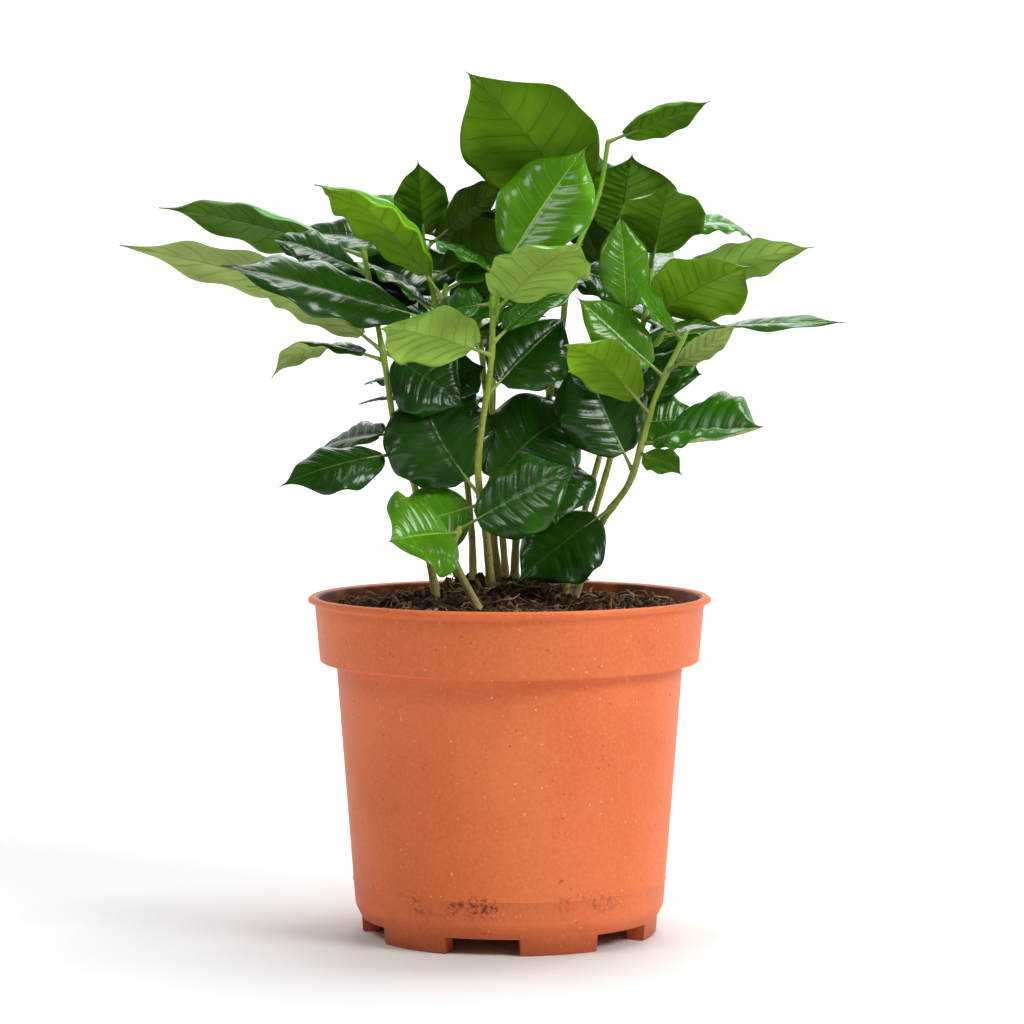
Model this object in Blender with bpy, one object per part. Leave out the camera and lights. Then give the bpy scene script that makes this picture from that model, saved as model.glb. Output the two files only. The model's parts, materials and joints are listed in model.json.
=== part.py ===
"""Potted coffee plant: a clump of seedlings in a round nursery pot filled with peat.

Metres, +Z up. The floor is z = 0. The origin is the middle of the whole plant's outline on the
floor; the pot's axis stands a little to the right of it, because the crown leans to the left.
Lengths below are in millimetres and are turned into metres by MM.
"""

import math
import random

import bmesh
import bpy
import numpy as np
from mathutils.bvhtree import BVHTree

MM = 0.001
GAP = 0.3  # between solids that touch

# Where the pot's axis stands from the middle of the outline
AXIS_X, AXIS_Y = 7.7, -5.5

# Pot: outer radii and heights, from the feet to the lip
POT_FOOT_R = 44.3
POT_FOOT_DEPTH = 5.5
POT_FOOT_WIDE = 31.0  # degrees of the ring that each foot takes
POT_FOOT_FIRST = -70.4  # heading of the first foot's middle
POT_FEET = 6
POT_FLOOR_Z = 5.0
POT_HEEL_Z = 8.7
POT_HEEL_R = 46.5
POT_NECK_Z = 81.5
POT_NECK_R = 52.1
POT_COLLAR_LOW_R = 57.2
POT_COLLAR_HIGH_R = 58.5
POT_LIP_UNDER_Z = 99.0
POT_LIP_Z = 101.7
POT_LIP_R = 60.5
POT_WALL = 1.3
POT_FLOOR_THICK = 1.8
POT_SIDES = 64
DRAIN_HOLE_R = 3.5
DRAIN_HOLE_AT = 30.0

# Peat: a disc that nearly fills the pot and rises to a mound round the stems
PEAT_EDGE_Z = 96.5
MOUND_RISE = 8.6
MOUND_X, MOUND_Y = -4.0, 10.0
MOUND_WIDE, MOUND_DEEP = 27.0, 21.0
PEAT_RINGS = 7
PEAT_SIDES = 40

# Stems
STEM_SIDES = 6
STEM_STEPS = 6
TWIG_SIDES = 5

# Leaves
STALK = 0.13  # share of a leaf's length that is its stalk
STALK_R = 0.75
BLADE_THICK = 0.7
BLADE_STEPS = 5
CLEAR = 0.2  # air kept on each side of a blade
TURNS = ((0, 0), (6, 0), (-6, 0), (0, 6), (0, -6), (8, 8), (-8, 8), (8, -8), (-8, -8), (14, 0),
         (-14, 0), (0, 14), (0, -14), (18, 12), (-18, 12), (18, -12), (-18, -12), (28, 0), (-28, 0))


def leaf(at, heading, lift, long, wide, roll=0, arch=30, sweep=0, twist=0, fold=12, age=1):
    """One leaf: the height of its node, the heading of its tip seen from above (0 right, 90 to
    the back), the rise of its tip, its length and width, its turn about its own length, and how
    far it arches, bends sideways, twists and folds. Age runs from 0, just open, to 2, old."""
    return dict(at=at, heading=heading, lift=lift, long=long, wide=wide, roll=roll, arch=arch,
                sweep=sweep, twist=twist, fold=fold, age=age)


# Each seedling: its foot in the peat, the points its stem passes, its foot and tip radius, the
# height where its crown begins, and its leaves from the lowest up
SEEDLINGS = {
    "front": dict(
        foot=(-5.6, 2), route=((-7.2, -6, 122), (-9.3, -14, 141), (-5.3, -16, 173), (-5, -17, 193)),
        thick=(1.25, 0.75), crown=127.5,
        leaves=(
            leaf(186, -50, 26, 45, 30, roll=-12, arch=30, fold=8, age=0.5),
            leaf(173.8, -136, 10, 45, 24, roll=40, arch=25, fold=8, age=0.6),
            leaf(131.8, 152, 60, 41, 33, roll=-50, arch=-10, sweep=-30, fold=4, age=2),
            leaf(131, 22, 42, 45, 34, roll=46, arch=20, sweep=-40, fold=4, age=1.9),
            leaf(129.5, -175, -17, 27, 23, roll=-60, arch=10, fold=4, age=0.8),
            leaf(162, 30, 38, 37, 26, roll=45, arch=10, age=2),
            leaf(189, 150, -14, 24, 19, roll=-40, age=1.3),
        )),
    "low": dict(
        foot=(-9, -17), route=((-16.6, -20, 115.5), (-14.4, -19.5, 123.5)),
        thick=(1.25, 0.8), crown=117,
        leaves=(
            leaf(121.5, -138, -3, 27, 31, roll=-46, arch=20, fold=16, age=0.6),
            leaf(122.5, -10, 28, 40, 26, roll=60, arch=15, fold=4, age=1.4),
        )),
    "left": dict(
        foot=(-22, 1), route=((-28.6, 0, 134.5), (-33.4, -2, 147), (-37.3, -4, 171.5), (-44, 3, 206)),
        thick=(1.2, 0.7), crown=140,
        leaves=(
            leaf(174.8, -155, 24, 47, 17, roll=35, arch=60, fold=10, age=1),
            leaf(189.2, 170, 12.5, 80.5, 19, roll=40, arch=5, fold=10, age=0.6),
            leaf(203.3, 155, 12, 73, 23, roll=40, arch=15, fold=6, age=1),
            leaf(144.3, -152, -13, 41, 18.5, roll=-40, arch=30, fold=-5, age=2),
            leaf(150.3, 155, -20, 29, 20, roll=-25, arch=25, age=2),
            leaf(172, 165, -9, 36, 17, roll=-10, arch=90, twist=70, age=1.5),
            leaf(175, 5, -35, 30, 24, roll=62, arch=25, fold=4, age=2),
            leaf(197.5, 166, 8, 32, 15, roll=-45, age=1.9),
            leaf(205, -30, 35, 17, 7, arch=10, age=0),
        )),
    "left_mid": dict(
        foot=(-14.5, 10), route=((-19, 9, 115), (-23, 4, 160), (-19, 1, 195)),
        thick=(1.1, 0.7), crown=150,
        leaves=(
            leaf(183, -155, 13, 75, 24, roll=-45, arch=10, fold=8, age=2),
            leaf(190, -136, 33, 61, 24, roll=10, arch=48, fold=12, age=0.4),
            leaf(154, 0, 35, 17, 14, roll=45, age=2),
            leaf(164, -4, 8, 17, 17, roll=50, age=2),
        )),
    "left_tall": dict(
        foot=(-11, 9), route=((-11.6, 10, 121), (-16, 13, 160), (-25, 20, 200), (-27, 22, 213)),
        thick=(1.1, 0.65), crown=152,
        leaves=(
            leaf(208, 127, 23, 38, 15, roll=-20, age=1),
            leaf(206, -95, 57, 31, 16, roll=10, arch=-10, age=1.5),
            leaf(205.5, 28, 36, 35, 21, roll=-50, arch=15, age=1.9),
            leaf(196, 8, 28, 35, 24, roll=-45, arch=25, age=2),
            leaf(190, 2, 6, 30, 18, roll=-40, age=2),
            leaf(188, 176, 17, 38, 23, roll=-28, arch=15, age=1.9),
            leaf(158.5, 180, 0, 30, 13, age=1.8),
            leaf(204, 163, 7, 46, 22, roll=-28, age=1.9),
        )),
    "mid": dict(
        foot=(-3.5, 14), route=((-5, 12, 121), (-5, 4, 165), (-3, -9, 202)),
        thick=(1.25, 0.75), crown=148,
        leaves=(
            leaf(197, 25, 53, 49, 29, roll=45, arch=20, fold=8, age=0.4),
        )),
    "mid_tall": dict(
        foot=(1.4, 12), route=((2.5, 11, 121), (10, 9, 152), (15.6, 10, 179), (18.5, 19, 200),
                               (27.3, 28, 222), (30.3, 30, 239)),
        thick=(1.2, 0.7), crown=144,
        leaves=(
            leaf(215, -145, 43, 63, 42, roll=32, arch=12, sweep=-10, fold=6, age=0.8),
            leaf(238.6, -18, 20, 34.5, 13.5, roll=-45, arch=8, fold=14, age=1),
            leaf(147, -75, -52, 31, 29, roll=5, arch=20, fold=6, age=1.8),
            leaf(200, 8, -28, 26, 18, roll=50, arch=50, age=1.7),
        )),
    "right_mid": dict(
        foot=(16.5, 10), route=((24, 10, 131), (27, 9, 142), (34, 3, 172), (35.5, -2, 184)),
        thick=(1.15, 0.7), crown=150,
        leaves=(
            leaf(182, 180, 86, 34, 15, roll=-80, arch=15, age=0.4),
        )),
    "right_tall": dict(
        foot=(18.5, 13), route=((27.4, 12, 131), (30.3, 12, 141), (41, 14, 185), (44, 18, 212)),
        thick=(1.15, 0.7), crown=150,
        leaves=(
            leaf(184, -40, 22, 43, 28, roll=-35, arch=20, fold=8, age=0.7),
            leaf(195, 5, 12.5, 52, 20, roll=-35, arch=8, age=0.8),
            leaf(200, -80, 44, 36, 27, arch=10, age=1.2),
            leaf(208.5, 22, -2, 35, 17, roll=20, arch=80, age=1),
            leaf(158, -8, 36, 31, 18, roll=40, arch=15, age=1.5),
            leaf(152, 4, 12, 27, 20, roll=55, arch=15, age=1.3),
        )),
    "right_front": dict(
        foot=(19.5, 5), route=((27.8, 0, 123.4), (35.6, -4, 135), (39.4, -6, 147), (43, -7, 160),
                               (53, -3, 181)),
        thick=(1.2, 0.75), crown=122.5,
        leaves=(
            leaf(147.5, -29, 8, 40, 42, roll=21, arch=-20, fold=37, age=1.2),
            leaf(138.5, 160, 66, 41, 28, roll=-55, sweep=-15, arch=25, fold=4, age=2),
            leaf(156, -144, 33, 38, 19, roll=35, arch=70, fold=10, age=0.3),
            leaf(128, -163, -36, 37, 27, roll=-45, arch=15, fold=4, age=2),
            leaf(169, -42, 28, 30.5, 8, roll=-45, arch=-10, age=0.7),
            leaf(167, -167, 42, 36, 16, roll=-72, arch=10, age=0.4),
            leaf(178, -149, 46, 28, 9, roll=-60, arch=0, age=0.8),
            leaf(144.6, -50, -4, 20, 10, roll=35, arch=40, age=0.4),
        )),
    "right_back": dict(
        foot=(10, 24), route=((17, 24, 140), (30, 25, 162), (46, 26, 178), (51, 26, 192)),
        thick=(1.15, 0.7), crown=165,
        leaves=(
            leaf(179.3, -7, 4, 56, 12, arch=10, twist=60, age=1.2),
            leaf(169, -25, -4, 24, 21, roll=60, arch=20, age=1.8),
        )),
    "back_left": dict(
        foot=(-1, 22), route=((-2.6, 24, 122), (-8, 30, 168), (-11, 36, 208)),
        thick=(1.1, 0.65), crown=150,
        leaves=(
            leaf(197, -178, 4, 40, 22, roll=-50, age=1.8),
            leaf(205, -50, 20, 42, 22, roll=-10, age=1.8),
            leaf(204, 150, 34, 34, 20, roll=-20, age=1.8),
        )),
    "back_right": dict(
        foot=(9, 31), route=((20, 34, 140), (30, 38, 165), (34, 42, 208)),
        thick=(1.1, 0.65), crown=145,
        leaves=(
            leaf(204.6, -72, 61, 33, 34, arch=15, age=1.5),
            leaf(188, -145, 74, 39, 23, age=1.9),
            leaf(205, 110, 62, 35, 26, arch=15, age=1.6),
        )),
}

# The leaves of the rear half follow a rule: up each stem a leaf every REAR_STEP, by turns to the
# left and right of straight back, rising more and growing less dark with height
REAR_LOW, REAR_STEP = 141.0, 7.0
REAR_SIDEWAYS = (12, 66)
REAR_LONG = (34, 48)
# Front-view windows (x and z limits) that the rear leaves leave open
WINDOWS = ((12, 29, 170, 192), (-42, -32, 168, 188), (-36, -28, 148, 160), (20, 34, 128, 146))
# The crown's front outline, which the rear leaves keep to: its half width where it begins and how
# fast that grows, and its top, which is highest over TOP_X
CROWN_LOW, CROWN_X, CROWN_HALF, CROWN_FLARE = 139.0, 4.0, 38.0, 0.62
TOP_Z, TOP_RISE, TOP_X, TOP_WIDE = 211.0, 15.0, 22.0, 28.0
CROWN_BACK = 88.0


def unit(v):
    return v / max(np.linalg.norm(v), 1e-12)


def peat_height(x, y):
    """The peat's surface over a point measured from the pot's axis."""
    hill = math.exp(-(((x - MOUND_X) / MOUND_WIDE) ** 2 + ((y - MOUND_Y) / MOUND_DEEP) ** 2))
    return PEAT_EDGE_Z + MOUND_RISE * hill


def stem_at(seedling, z):
    """The stem's centre at a height, by a smooth curve through its points, and its radius."""
    fx, fy = seedling["foot"]
    pts = [(fx, fy, peat_height(fx, fy))] + list(seedling["route"])
    hs = [p[2] for p in pts]
    k = min(max(sum(z > h for h in hs) - 1, 0), len(pts) - 2)

    def slope(i):
        lo, hi = max(i - 1, 0), min(i + 1, len(pts) - 1)
        rise = hs[hi] - hs[lo]
        return [(pts[hi][c] - pts[lo][c]) / rise for c in (0, 1)]

    span = hs[k + 1] - hs[k]
    t = (z - hs[k]) / span
    h00, h10 = (1 + 2 * t) * (1 - t) ** 2, t * (1 - t) ** 2
    h01, h11 = t * t * (3 - 2 * t), t * t * (t - 1)
    xy = [h00 * pts[k][c] + h10 * span * slope(k)[c] + h01 * pts[k + 1][c] + h11 * span * slope(k + 1)[c]
          for c in (0, 1)]
    low, high = seedling["thick"]
    share = (z - hs[0]) / (hs[-1] - hs[0])
    return np.array([xy[0], xy[1], z]), low + (high - low) * share


def leaf_outline(b):
    """Half width of a blade, as a share of its greatest, from its foot (0) to its tip (1)."""
    s = math.sin(math.pi * min(max(b, 0.0), 1.0) ** 0.88)
    return max(s, 0.0) ** (0.72 + 1.1 * max(0.0, (b - 0.62) / 0.38) ** 1.2)


def spine(base, spec, u):
    """Centre of the leaf at share u of its length, with its side and its upper normal."""
    head, lift = math.radians(spec["heading"]), math.radians(spec["lift"])
    c = np.array([math.cos(lift) * math.cos(head), math.cos(lift) * math.sin(head), math.sin(lift)])
    n0 = unit(np.array([0.0, 0.0, 1.0]) - c[2] * c)
    s0 = np.cross(c, n0)
    r = math.radians(spec["roll"])
    n, s = n0 * math.cos(r) + s0 * math.sin(r), s0 * math.cos(r) - n0 * math.sin(r)
    rise = math.radians(spec["arch"]) / 8
    bend = math.radians(spec["sweep"]) / 8

    def at(q):
        hump = 4 * q * (1 - q) * (1 + 0.5 * (q - 0.5))
        return base + spec["long"] * (q * c + hump * (rise * n + bend * s))

    t = unit(at(u + 0.01) - at(u - 0.01))
    w = math.radians(spec["twist"]) * (u - 0.3)
    m = unit(n - (n @ t) * t)
    side = np.cross(t, m)
    return at(u), side * math.cos(w) - m * math.sin(w), m * math.cos(w) + side * math.sin(w)


def blade_point(base, spec, b, v):
    """A point of the blade at share b from its foot and v from the midrib, -1 to 1."""
    p, s, n = spine(base, spec, STALK + (1 - STALK) * b)
    half = 0.5 * spec["wide"] * leaf_outline(b)
    fold = math.tan(math.radians(spec["fold"]))
    return p + s * (v * half) + n * (half * fold * (abs(v) - 0.3 * v * v)), n


def blade_mesh(base, spec, thick, steps=BLADE_STEPS):
    """Closed thin blade: three points across above and three below, at each step along it."""
    verts, faces = [], []
    shares = [0.0] + [0.1 + 0.88 * i / (steps - 1) for i in range(steps)]
    for b in shares:
        for lift in (0.5, -0.5):
            for v in (-1, 0, 1):
                p, n = blade_point(base, spec, max(b, 0.03), v)
                verts.append(p + n * (lift * thick))
    rows = len(shares)
    ring = (0, 1, 2, 5, 4, 3)
    for i in range(rows - 1):
        for j in range(6):
            a, b = ring[j], ring[(j + 1) % 6]
            faces.append((i * 6 + a, i * 6 + b, i * 6 + 6 + b, i * 6 + 6 + a))
    faces += [(0, 3, 4, 1), (1, 4, 5, 2)]
    e = (rows - 1) * 6
    faces += [(e, e + 1, e + 4, e + 3), (e + 1, e + 2, e + 5, e + 4)]
    return verts, faces


def tube_mesh(rings):
    """Closed tube through rings of points, with flat ends."""
    n = len(rings[0])
    verts = [p for ring in rings for p in ring]
    faces = [tuple(range(n))[::-1], tuple(len(verts) - n + i for i in range(n))]
    for k in range(len(rings) - 1):
        for i in range(n):
            j = (i + 1) % n
            faces.append((k * n + i, k * n + j, k * n + n + j, k * n + n + i))
    return verts, faces


def round_ring(centre, along, radius, sides):
    a = unit(np.cross(along, [0.31, 0.95, 0.1]))
    b = np.cross(along, a)
    return [centre + radius * (math.cos(q) * a + math.sin(q) * b)
            for q in (2 * math.pi * i / sides for i in range(sides))]


def stalk_mesh(seedling, spec):
    """The leaf's stalk, from inside the stem to just under its midrib."""
    base, r = stem_at(seedling, spec["at"])
    rings = []
    for u in (0.0, STALK + 0.02, STALK + 0.13):
        p, _, n = spine(base, spec, u)
        q, _, _ = spine(base, spec, u + 0.02)
        size = STALK_R * (1.0 if u < STALK else 0.75)
        rings.append(round_ring(p - n * 0.1, unit(q - p), size, 3))
    return tube_mesh(rings)


def rear_leaves(seedling, order):
    """Leaves of a seedling's rear side, by the rule above, from the lowest up."""
    rng = random.Random(order)
    found, k = [], order % 2
    z = max(REAR_LOW, seedling["crown"] + 4) + rng.uniform(0, 8)
    while z < seedling["route"][-1][2] - 1:
        side = rng.uniform(*REAR_SIDEWAYS) * (1 if k % 2 else -1)
        high = (z - 130) / 90
        long = rng.uniform(*REAR_LONG) * (1 - 0.15 * high)
        lift = -6 + 42 * high + rng.uniform(-6, 6)
        found.append(leaf(z, 90 + side, lift, long, long * rng.uniform(0.42, 0.5),
                          roll=rng.uniform(-18, 18), arch=rng.uniform(20, 50), age=2.2 - 1.6 * high))
        z += REAR_STEP * rng.uniform(0.8, 1.2)
        k += 1
    return found


def within_crown(base, spec):
    """Whether a rear leaf keeps to the crown's outline and leaves its windows open."""
    for b in (0.15, 0.4, 0.7, 1.0):
        for v in (-1, 0, 1):
            (x, y, z), _ = blade_point(base, spec, b, v)
            if any(x0 < x < x1 and z0 < z < z1 for x0, x1, z0, z1 in WINDOWS):
                return False
            top = TOP_Z + TOP_RISE * math.exp(-(((x - TOP_X) / TOP_WIDE) ** 2)) - 0.0035 * x * x
            half = CROWN_HALF + CROWN_FLARE * (z - CROWN_LOW)
            if z > top or z < CROWN_LOW or abs(x - CROWN_X) > half or y > CROWN_BACK:
                return False
    return True


def tree_of(verts, faces):
    return BVHTree.FromPolygons([tuple(v) for v in verts], faces)


def settled_leaves():
    """Each seedling's leaves, each turned by the least turn that keeps it clear of the stems and of
    every leaf placed before it. One that finds no room is left out."""
    stems = []
    for name, seedling in SEEDLINGS.items():
        foot = peat_height(*seedling["foot"])
        top = seedling["route"][-1][2]
        rings = []
        for i in range(10):
            z = foot + (top - foot) * i / 9
            p, r = stem_at(seedling, z)
            rings.append(round_ring(p, np.array([0.0, 0.0, 1.0]), r + CLEAR, 6))
        stems.append((name, tree_of(*tube_mesh(rings))))
    placed, kept = [], {name: [] for name in SEEDLINGS}
    fore = [(name, s["leaves"], False) for name, s in SEEDLINGS.items()]
    rear = [(name, rear_leaves(s, i), True) for i, (name, s) in enumerate(SEEDLINGS.items())]
    for group in (fore, rear):
        for k, (name, asked, behind) in ((k, g) for k in range(max(len(g[1]) for g in group)) for g in group):
            if k >= len(asked):
                continue
            seedling = SEEDLINGS[name]
            for turn, rise in TURNS:
                spec = dict(asked[k], heading=asked[k]["heading"] + turn, lift=asked[k]["lift"] + rise)
                base, _ = stem_at(seedling, spec["at"])
                if behind and not within_crown(base, spec):
                    continue
                body = tree_of(*blade_mesh(base, spec, BLADE_THICK + 2 * CLEAR))
                stalk = tree_of(*stalk_mesh(seedling, spec))
                free = all(not body.overlap(s) and (n == name or not stalk.overlap(s))
                           for n, s in stems)
                free = free and all(not body.overlap(o) and (n == name or not stalk.overlap(o))
                                    and not (n != name and body.overlap(os)) for n, o, os in placed)
                if free:
                    placed.append((name, body, stalk))
                    kept[name].append(spec)
                    break
    return kept


def new_object(name, verts, faces, material):
    mesh = bpy.data.meshes.new(name)
    mesh.from_pydata([((p[0] + AXIS_X) * MM, (p[1] + AXIS_Y) * MM, p[2] * MM) for p in verts], [], faces)
    bm = bmesh.new()
    bm.from_mesh(mesh)
    bmesh.ops.triangulate(bm, faces=bm.faces[:])
    bmesh.ops.recalc_face_normals(bm, faces=bm.faces[:])
    bm.to_mesh(mesh)
    bm.free()
    ob = bpy.data.objects.new(name, mesh)
    bpy.context.scene.collection.objects.link(ob)
    if material:
        mesh.materials.append(material)
    return ob


def material(name, colour, roughness):
    mat = bpy.data.materials.get(name) or bpy.data.materials.new(name)
    mat.use_nodes = True
    shader = mat.node_tree.nodes["Principled BSDF"]
    shader.inputs["Base Color"].default_value = (*colour, 1.0)
    shader.inputs["Roughness"].default_value = roughness
    shader.inputs["Metallic"].default_value = 0.0
    mat.diffuse_color = (*colour, 1.0)
    return mat


def applied(ob):
    """Replaces an object's mesh by what its modifiers make of it."""
    bpy.context.view_layer.update()
    deps = bpy.context.evaluated_depsgraph_get()
    mesh = bpy.data.meshes.new_from_object(ob.evaluated_get(deps))
    ob.modifiers.clear()
    old = ob.data
    ob.data = mesh
    bpy.data.meshes.remove(old)


def sector(name, r_in, r_out, z0, z1, middle, wide, steps=5):
    """Block of a ring, as a foot of the pot is."""
    verts, faces = [], []
    for i in range(steps + 1):
        a = math.radians(middle + wide * (i / steps - 0.5))
        verts += [(r * math.cos(a), r * math.sin(a), z)
                  for r, z in ((r_in, z0), (r_out, z0), (r_out, z1), (r_in, z1))]
    for i in range(steps):
        for k in range(4):
            m = (k + 1) % 4
            faces.append((i * 4 + k, i * 4 + m, i * 4 + 4 + m, i * 4 + 4 + k))
    faces += [(3, 2, 1, 0), tuple(steps * 4 + k for k in range(4))]
    return new_object(name, verts, faces, None)


def joined(ob, parts, operation, solver="EXACT"):
    """Applies one Boolean of a collection of parts to an object, and removes the parts."""
    group = bpy.data.collections.new(ob.name + "_parts")
    bpy.context.scene.collection.children.link(group)
    for part in parts:
        group.objects.link(part)
        bpy.context.scene.collection.objects.unlink(part)
        part.hide_render = True
        part.display_type = "WIRE"
    mod = ob.modifiers.new("join", "BOOLEAN")
    mod.operation = operation
    mod.operand_type = "COLLECTION"
    mod.collection = group
    mod.solver = solver
    applied(ob)
    for part in list(group.objects):
        mesh = part.data
        bpy.data.objects.remove(part)
        bpy.data.meshes.remove(mesh)
    bpy.data.collections.remove(group)


def build_pot():
    plastic = material("pot", (0.80, 0.19, 0.075), 0.45)
    w = POT_WALL
    profile = [
        (0.01, POT_FLOOR_Z), (POT_FOOT_R, POT_FLOOR_Z), (POT_HEEL_R, POT_HEEL_Z),
        (POT_NECK_R, POT_NECK_Z), (POT_COLLAR_LOW_R, POT_NECK_Z + 0.4),
        (POT_COLLAR_HIGH_R, POT_LIP_UNDER_Z), (POT_LIP_R - 0.3, POT_LIP_UNDER_Z + 0.5),
        (POT_LIP_R, POT_LIP_Z - 1.1), (POT_LIP_R - 0.6, POT_LIP_Z), (POT_COLLAR_HIGH_R - 0.6, POT_LIP_Z),
        (POT_COLLAR_HIGH_R - w, POT_LIP_Z - 1.2),
        (POT_COLLAR_LOW_R - w, POT_NECK_Z + 2.4), (POT_NECK_R - w, POT_NECK_Z - 0.6),
        (POT_HEEL_R - w, POT_FLOOR_Z + POT_FLOOR_THICK), (0.01, POT_FLOOR_Z + POT_FLOOR_THICK),
    ]
    # The first and last points close the floor on the axis
    verts, faces = [], []
    ring = profile[1:-1]
    n = len(ring)
    for i in range(POT_SIDES):
        a = 2 * math.pi * i / POT_SIDES
        verts += [(r * math.cos(a), r * math.sin(a), z) for r, z in ring]
    for i in range(POT_SIDES):
        j = (i + 1) % POT_SIDES
        for k in range(n - 1):
            faces.append((i * n + k, j * n + k, j * n + k + 1, i * n + k + 1))
    below, above = len(verts), len(verts) + 1
    verts += [(0, 0, POT_FLOOR_Z), (0, 0, POT_FLOOR_Z + POT_FLOOR_THICK)]
    for i in range(POT_SIDES):
        j = (i + 1) % POT_SIDES
        faces += [(below, j * n, i * n), (above, i * n + n - 1, j * n + n - 1)]
    pot = new_object("pot", verts, faces, plastic)
    feet = [sector(f"foot_{i}", POT_FOOT_R - POT_FOOT_DEPTH, POT_FOOT_R - 0.02, 0, POT_FLOOR_Z + 0.8,
                   POT_FOOT_FIRST + 60 * i, POT_FOOT_WIDE) for i in range(POT_FEET)]
    joined(pot, feet, "UNION")
    holes = []
    for i in range(POT_FEET):
        a = math.radians(POT_FOOT_FIRST + 30 + 60 * i)
        centre = np.array([DRAIN_HOLE_AT * math.cos(a), DRAIN_HOLE_AT * math.sin(a), 0.0])
        rings = [round_ring(centre + [0, 0, z], np.array([0.0, 0.0, 1.0]), DRAIN_HOLE_R, 12)
                 for z in (POT_FLOOR_Z - 1, POT_FLOOR_Z + POT_FLOOR_THICK + 1)]
        holes.append(new_object(f"hole_{i}", *tube_mesh(rings), None))
    joined(pot, holes, "DIFFERENCE")


def build_peat():
    peat = material("peat", (0.045, 0.024, 0.014), 0.95)
    inner = ((POT_HEEL_R - POT_WALL - GAP, POT_FLOOR_Z + POT_FLOOR_THICK + GAP),
             (POT_NECK_R - POT_WALL - GAP, POT_NECK_Z - 0.6),
             (POT_COLLAR_LOW_R - POT_WALL - GAP, POT_NECK_Z + 2.4 + GAP))
    wall = (POT_COLLAR_HIGH_R - POT_COLLAR_LOW_R) / (POT_LIP_UNDER_Z - POT_NECK_Z - 2.4)
    top_r = POT_COLLAR_LOW_R - POT_WALL - GAP + wall * (PEAT_EDGE_Z - POT_NECK_Z - 2.4) - 0.15
    verts, faces = [], []
    spin = [(2 * math.pi * i / PEAT_SIDES) for i in range(PEAT_SIDES)]
    for r, z in inner:
        verts += [(r * math.cos(a), r * math.sin(a), z) for a in spin]
    for k in range(PEAT_RINGS):
        r = top_r * (1 - k / PEAT_RINGS)
        for a in spin:
            x, y = r * math.cos(a), r * math.sin(a)
            verts.append((x, y, peat_height(x, y)))
    rings = len(inner) + PEAT_RINGS
    for k in range(rings - 1):
        for i in range(PEAT_SIDES):
            j = (i + 1) % PEAT_SIDES
            faces.append((k * PEAT_SIDES + i, k * PEAT_SIDES + j,
                          (k + 1) * PEAT_SIDES + j, (k + 1) * PEAT_SIDES + i))
    top, bottom = len(verts), len(verts) + 1
    verts += [(0, 0, peat_height(0, 0)), (0, 0, inner[0][1])]
    last = (rings - 1) * PEAT_SIDES
    for i in range(PEAT_SIDES):
        j = (i + 1) % PEAT_SIDES
        faces += [(last + i, last + j, top), (j, i, bottom)]
    new_object("peat", verts, faces, peat)


def build_stem(name, seedling):
    """Bare stem from the peat to just under its crown."""
    bark = material("stem", (0.42, 0.36, 0.12), 0.6)
    fx, fy = seedling["foot"]
    foot = peat_height(fx, fy)
    rings = []
    for i in range(STEM_STEPS + 1):
        z = foot + (seedling["crown"] - GAP - foot) * i / STEM_STEPS
        p, r = stem_at(seedling, z)
        r *= 1 + 0.25 * (1 - i / STEM_STEPS) ** 4
        ring = round_ring(p, np.array([0.0, 0.0, 1.0]), r, STEM_SIDES)
        if i == 0:
            ring = [np.array([q[0], q[1], peat_height(q[0], q[1]) + GAP + 0.1]) for q in ring]
        rings.append(ring)
    new_object("stem_" + name, *tube_mesh(rings), bark)


def build_crown(name, seedling, leaves):
    """Upper stem with its leaves fused on."""
    green = material("leaf", (0.05, 0.19, 0.02), 0.3)
    top = seedling["route"][-1][2]
    rings = []
    steps = 5
    for i in range(steps + 1):
        z = seedling["crown"] + (top - seedling["crown"]) * i / steps
        p, r = stem_at(seedling, z)
        rings.append(round_ring(p, np.array([0.0, 0.0, 1.0]), r * (0.7 if i == steps else 1), TWIG_SIDES))
    crown = new_object("crown_" + name, *tube_mesh(rings), green)
    parts = []
    for k, spec in enumerate(leaves):
        base, _ = stem_at(seedling, spec["at"])
        parts.append(new_object(f"blade_{k}", *blade_mesh(base, spec, BLADE_THICK), None))
        parts.append(new_object(f"stalk_{k}", *stalk_mesh(seedling, spec), None))
    joined(crown, parts, "UNION", "MANIFOLD")
    tidied(crown)


def tidied(ob):
    """Closes up the slivers a union leaves, by the widest of a few distances that keeps the solid
    closed, and cuts its faces into triangles."""
    for reach in (2e-5, 1e-5, 4e-6, 1e-6, 0.0):
        bm = bmesh.new()
        bm.from_mesh(ob.data)
        bmesh.ops.triangulate(bm, faces=bm.faces[:])
        if reach:
            bmesh.ops.dissolve_degenerate(bm, dist=reach, edges=bm.edges[:])
            bmesh.ops.triangulate(bm, faces=bm.faces[:])
        closed = all(e.is_manifold for e in bm.edges)
        if closed:
            bm.to_mesh(ob.data)
        bm.free()
        if closed:
            return


def build():
    for ob in list(bpy.data.objects):
        bpy.data.objects.remove(ob)
    build_pot()
    build_peat()
    kept = settled_leaves()
    for name, seedling in SEEDLINGS.items():
        build_stem(name, seedling)
        build_crown(name, seedling, kept[name])


build()
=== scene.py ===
import json
import math
import random

import bmesh
import bpy
import numpy as np
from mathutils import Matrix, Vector
from mathutils.bvhtree import BVHTree

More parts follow.
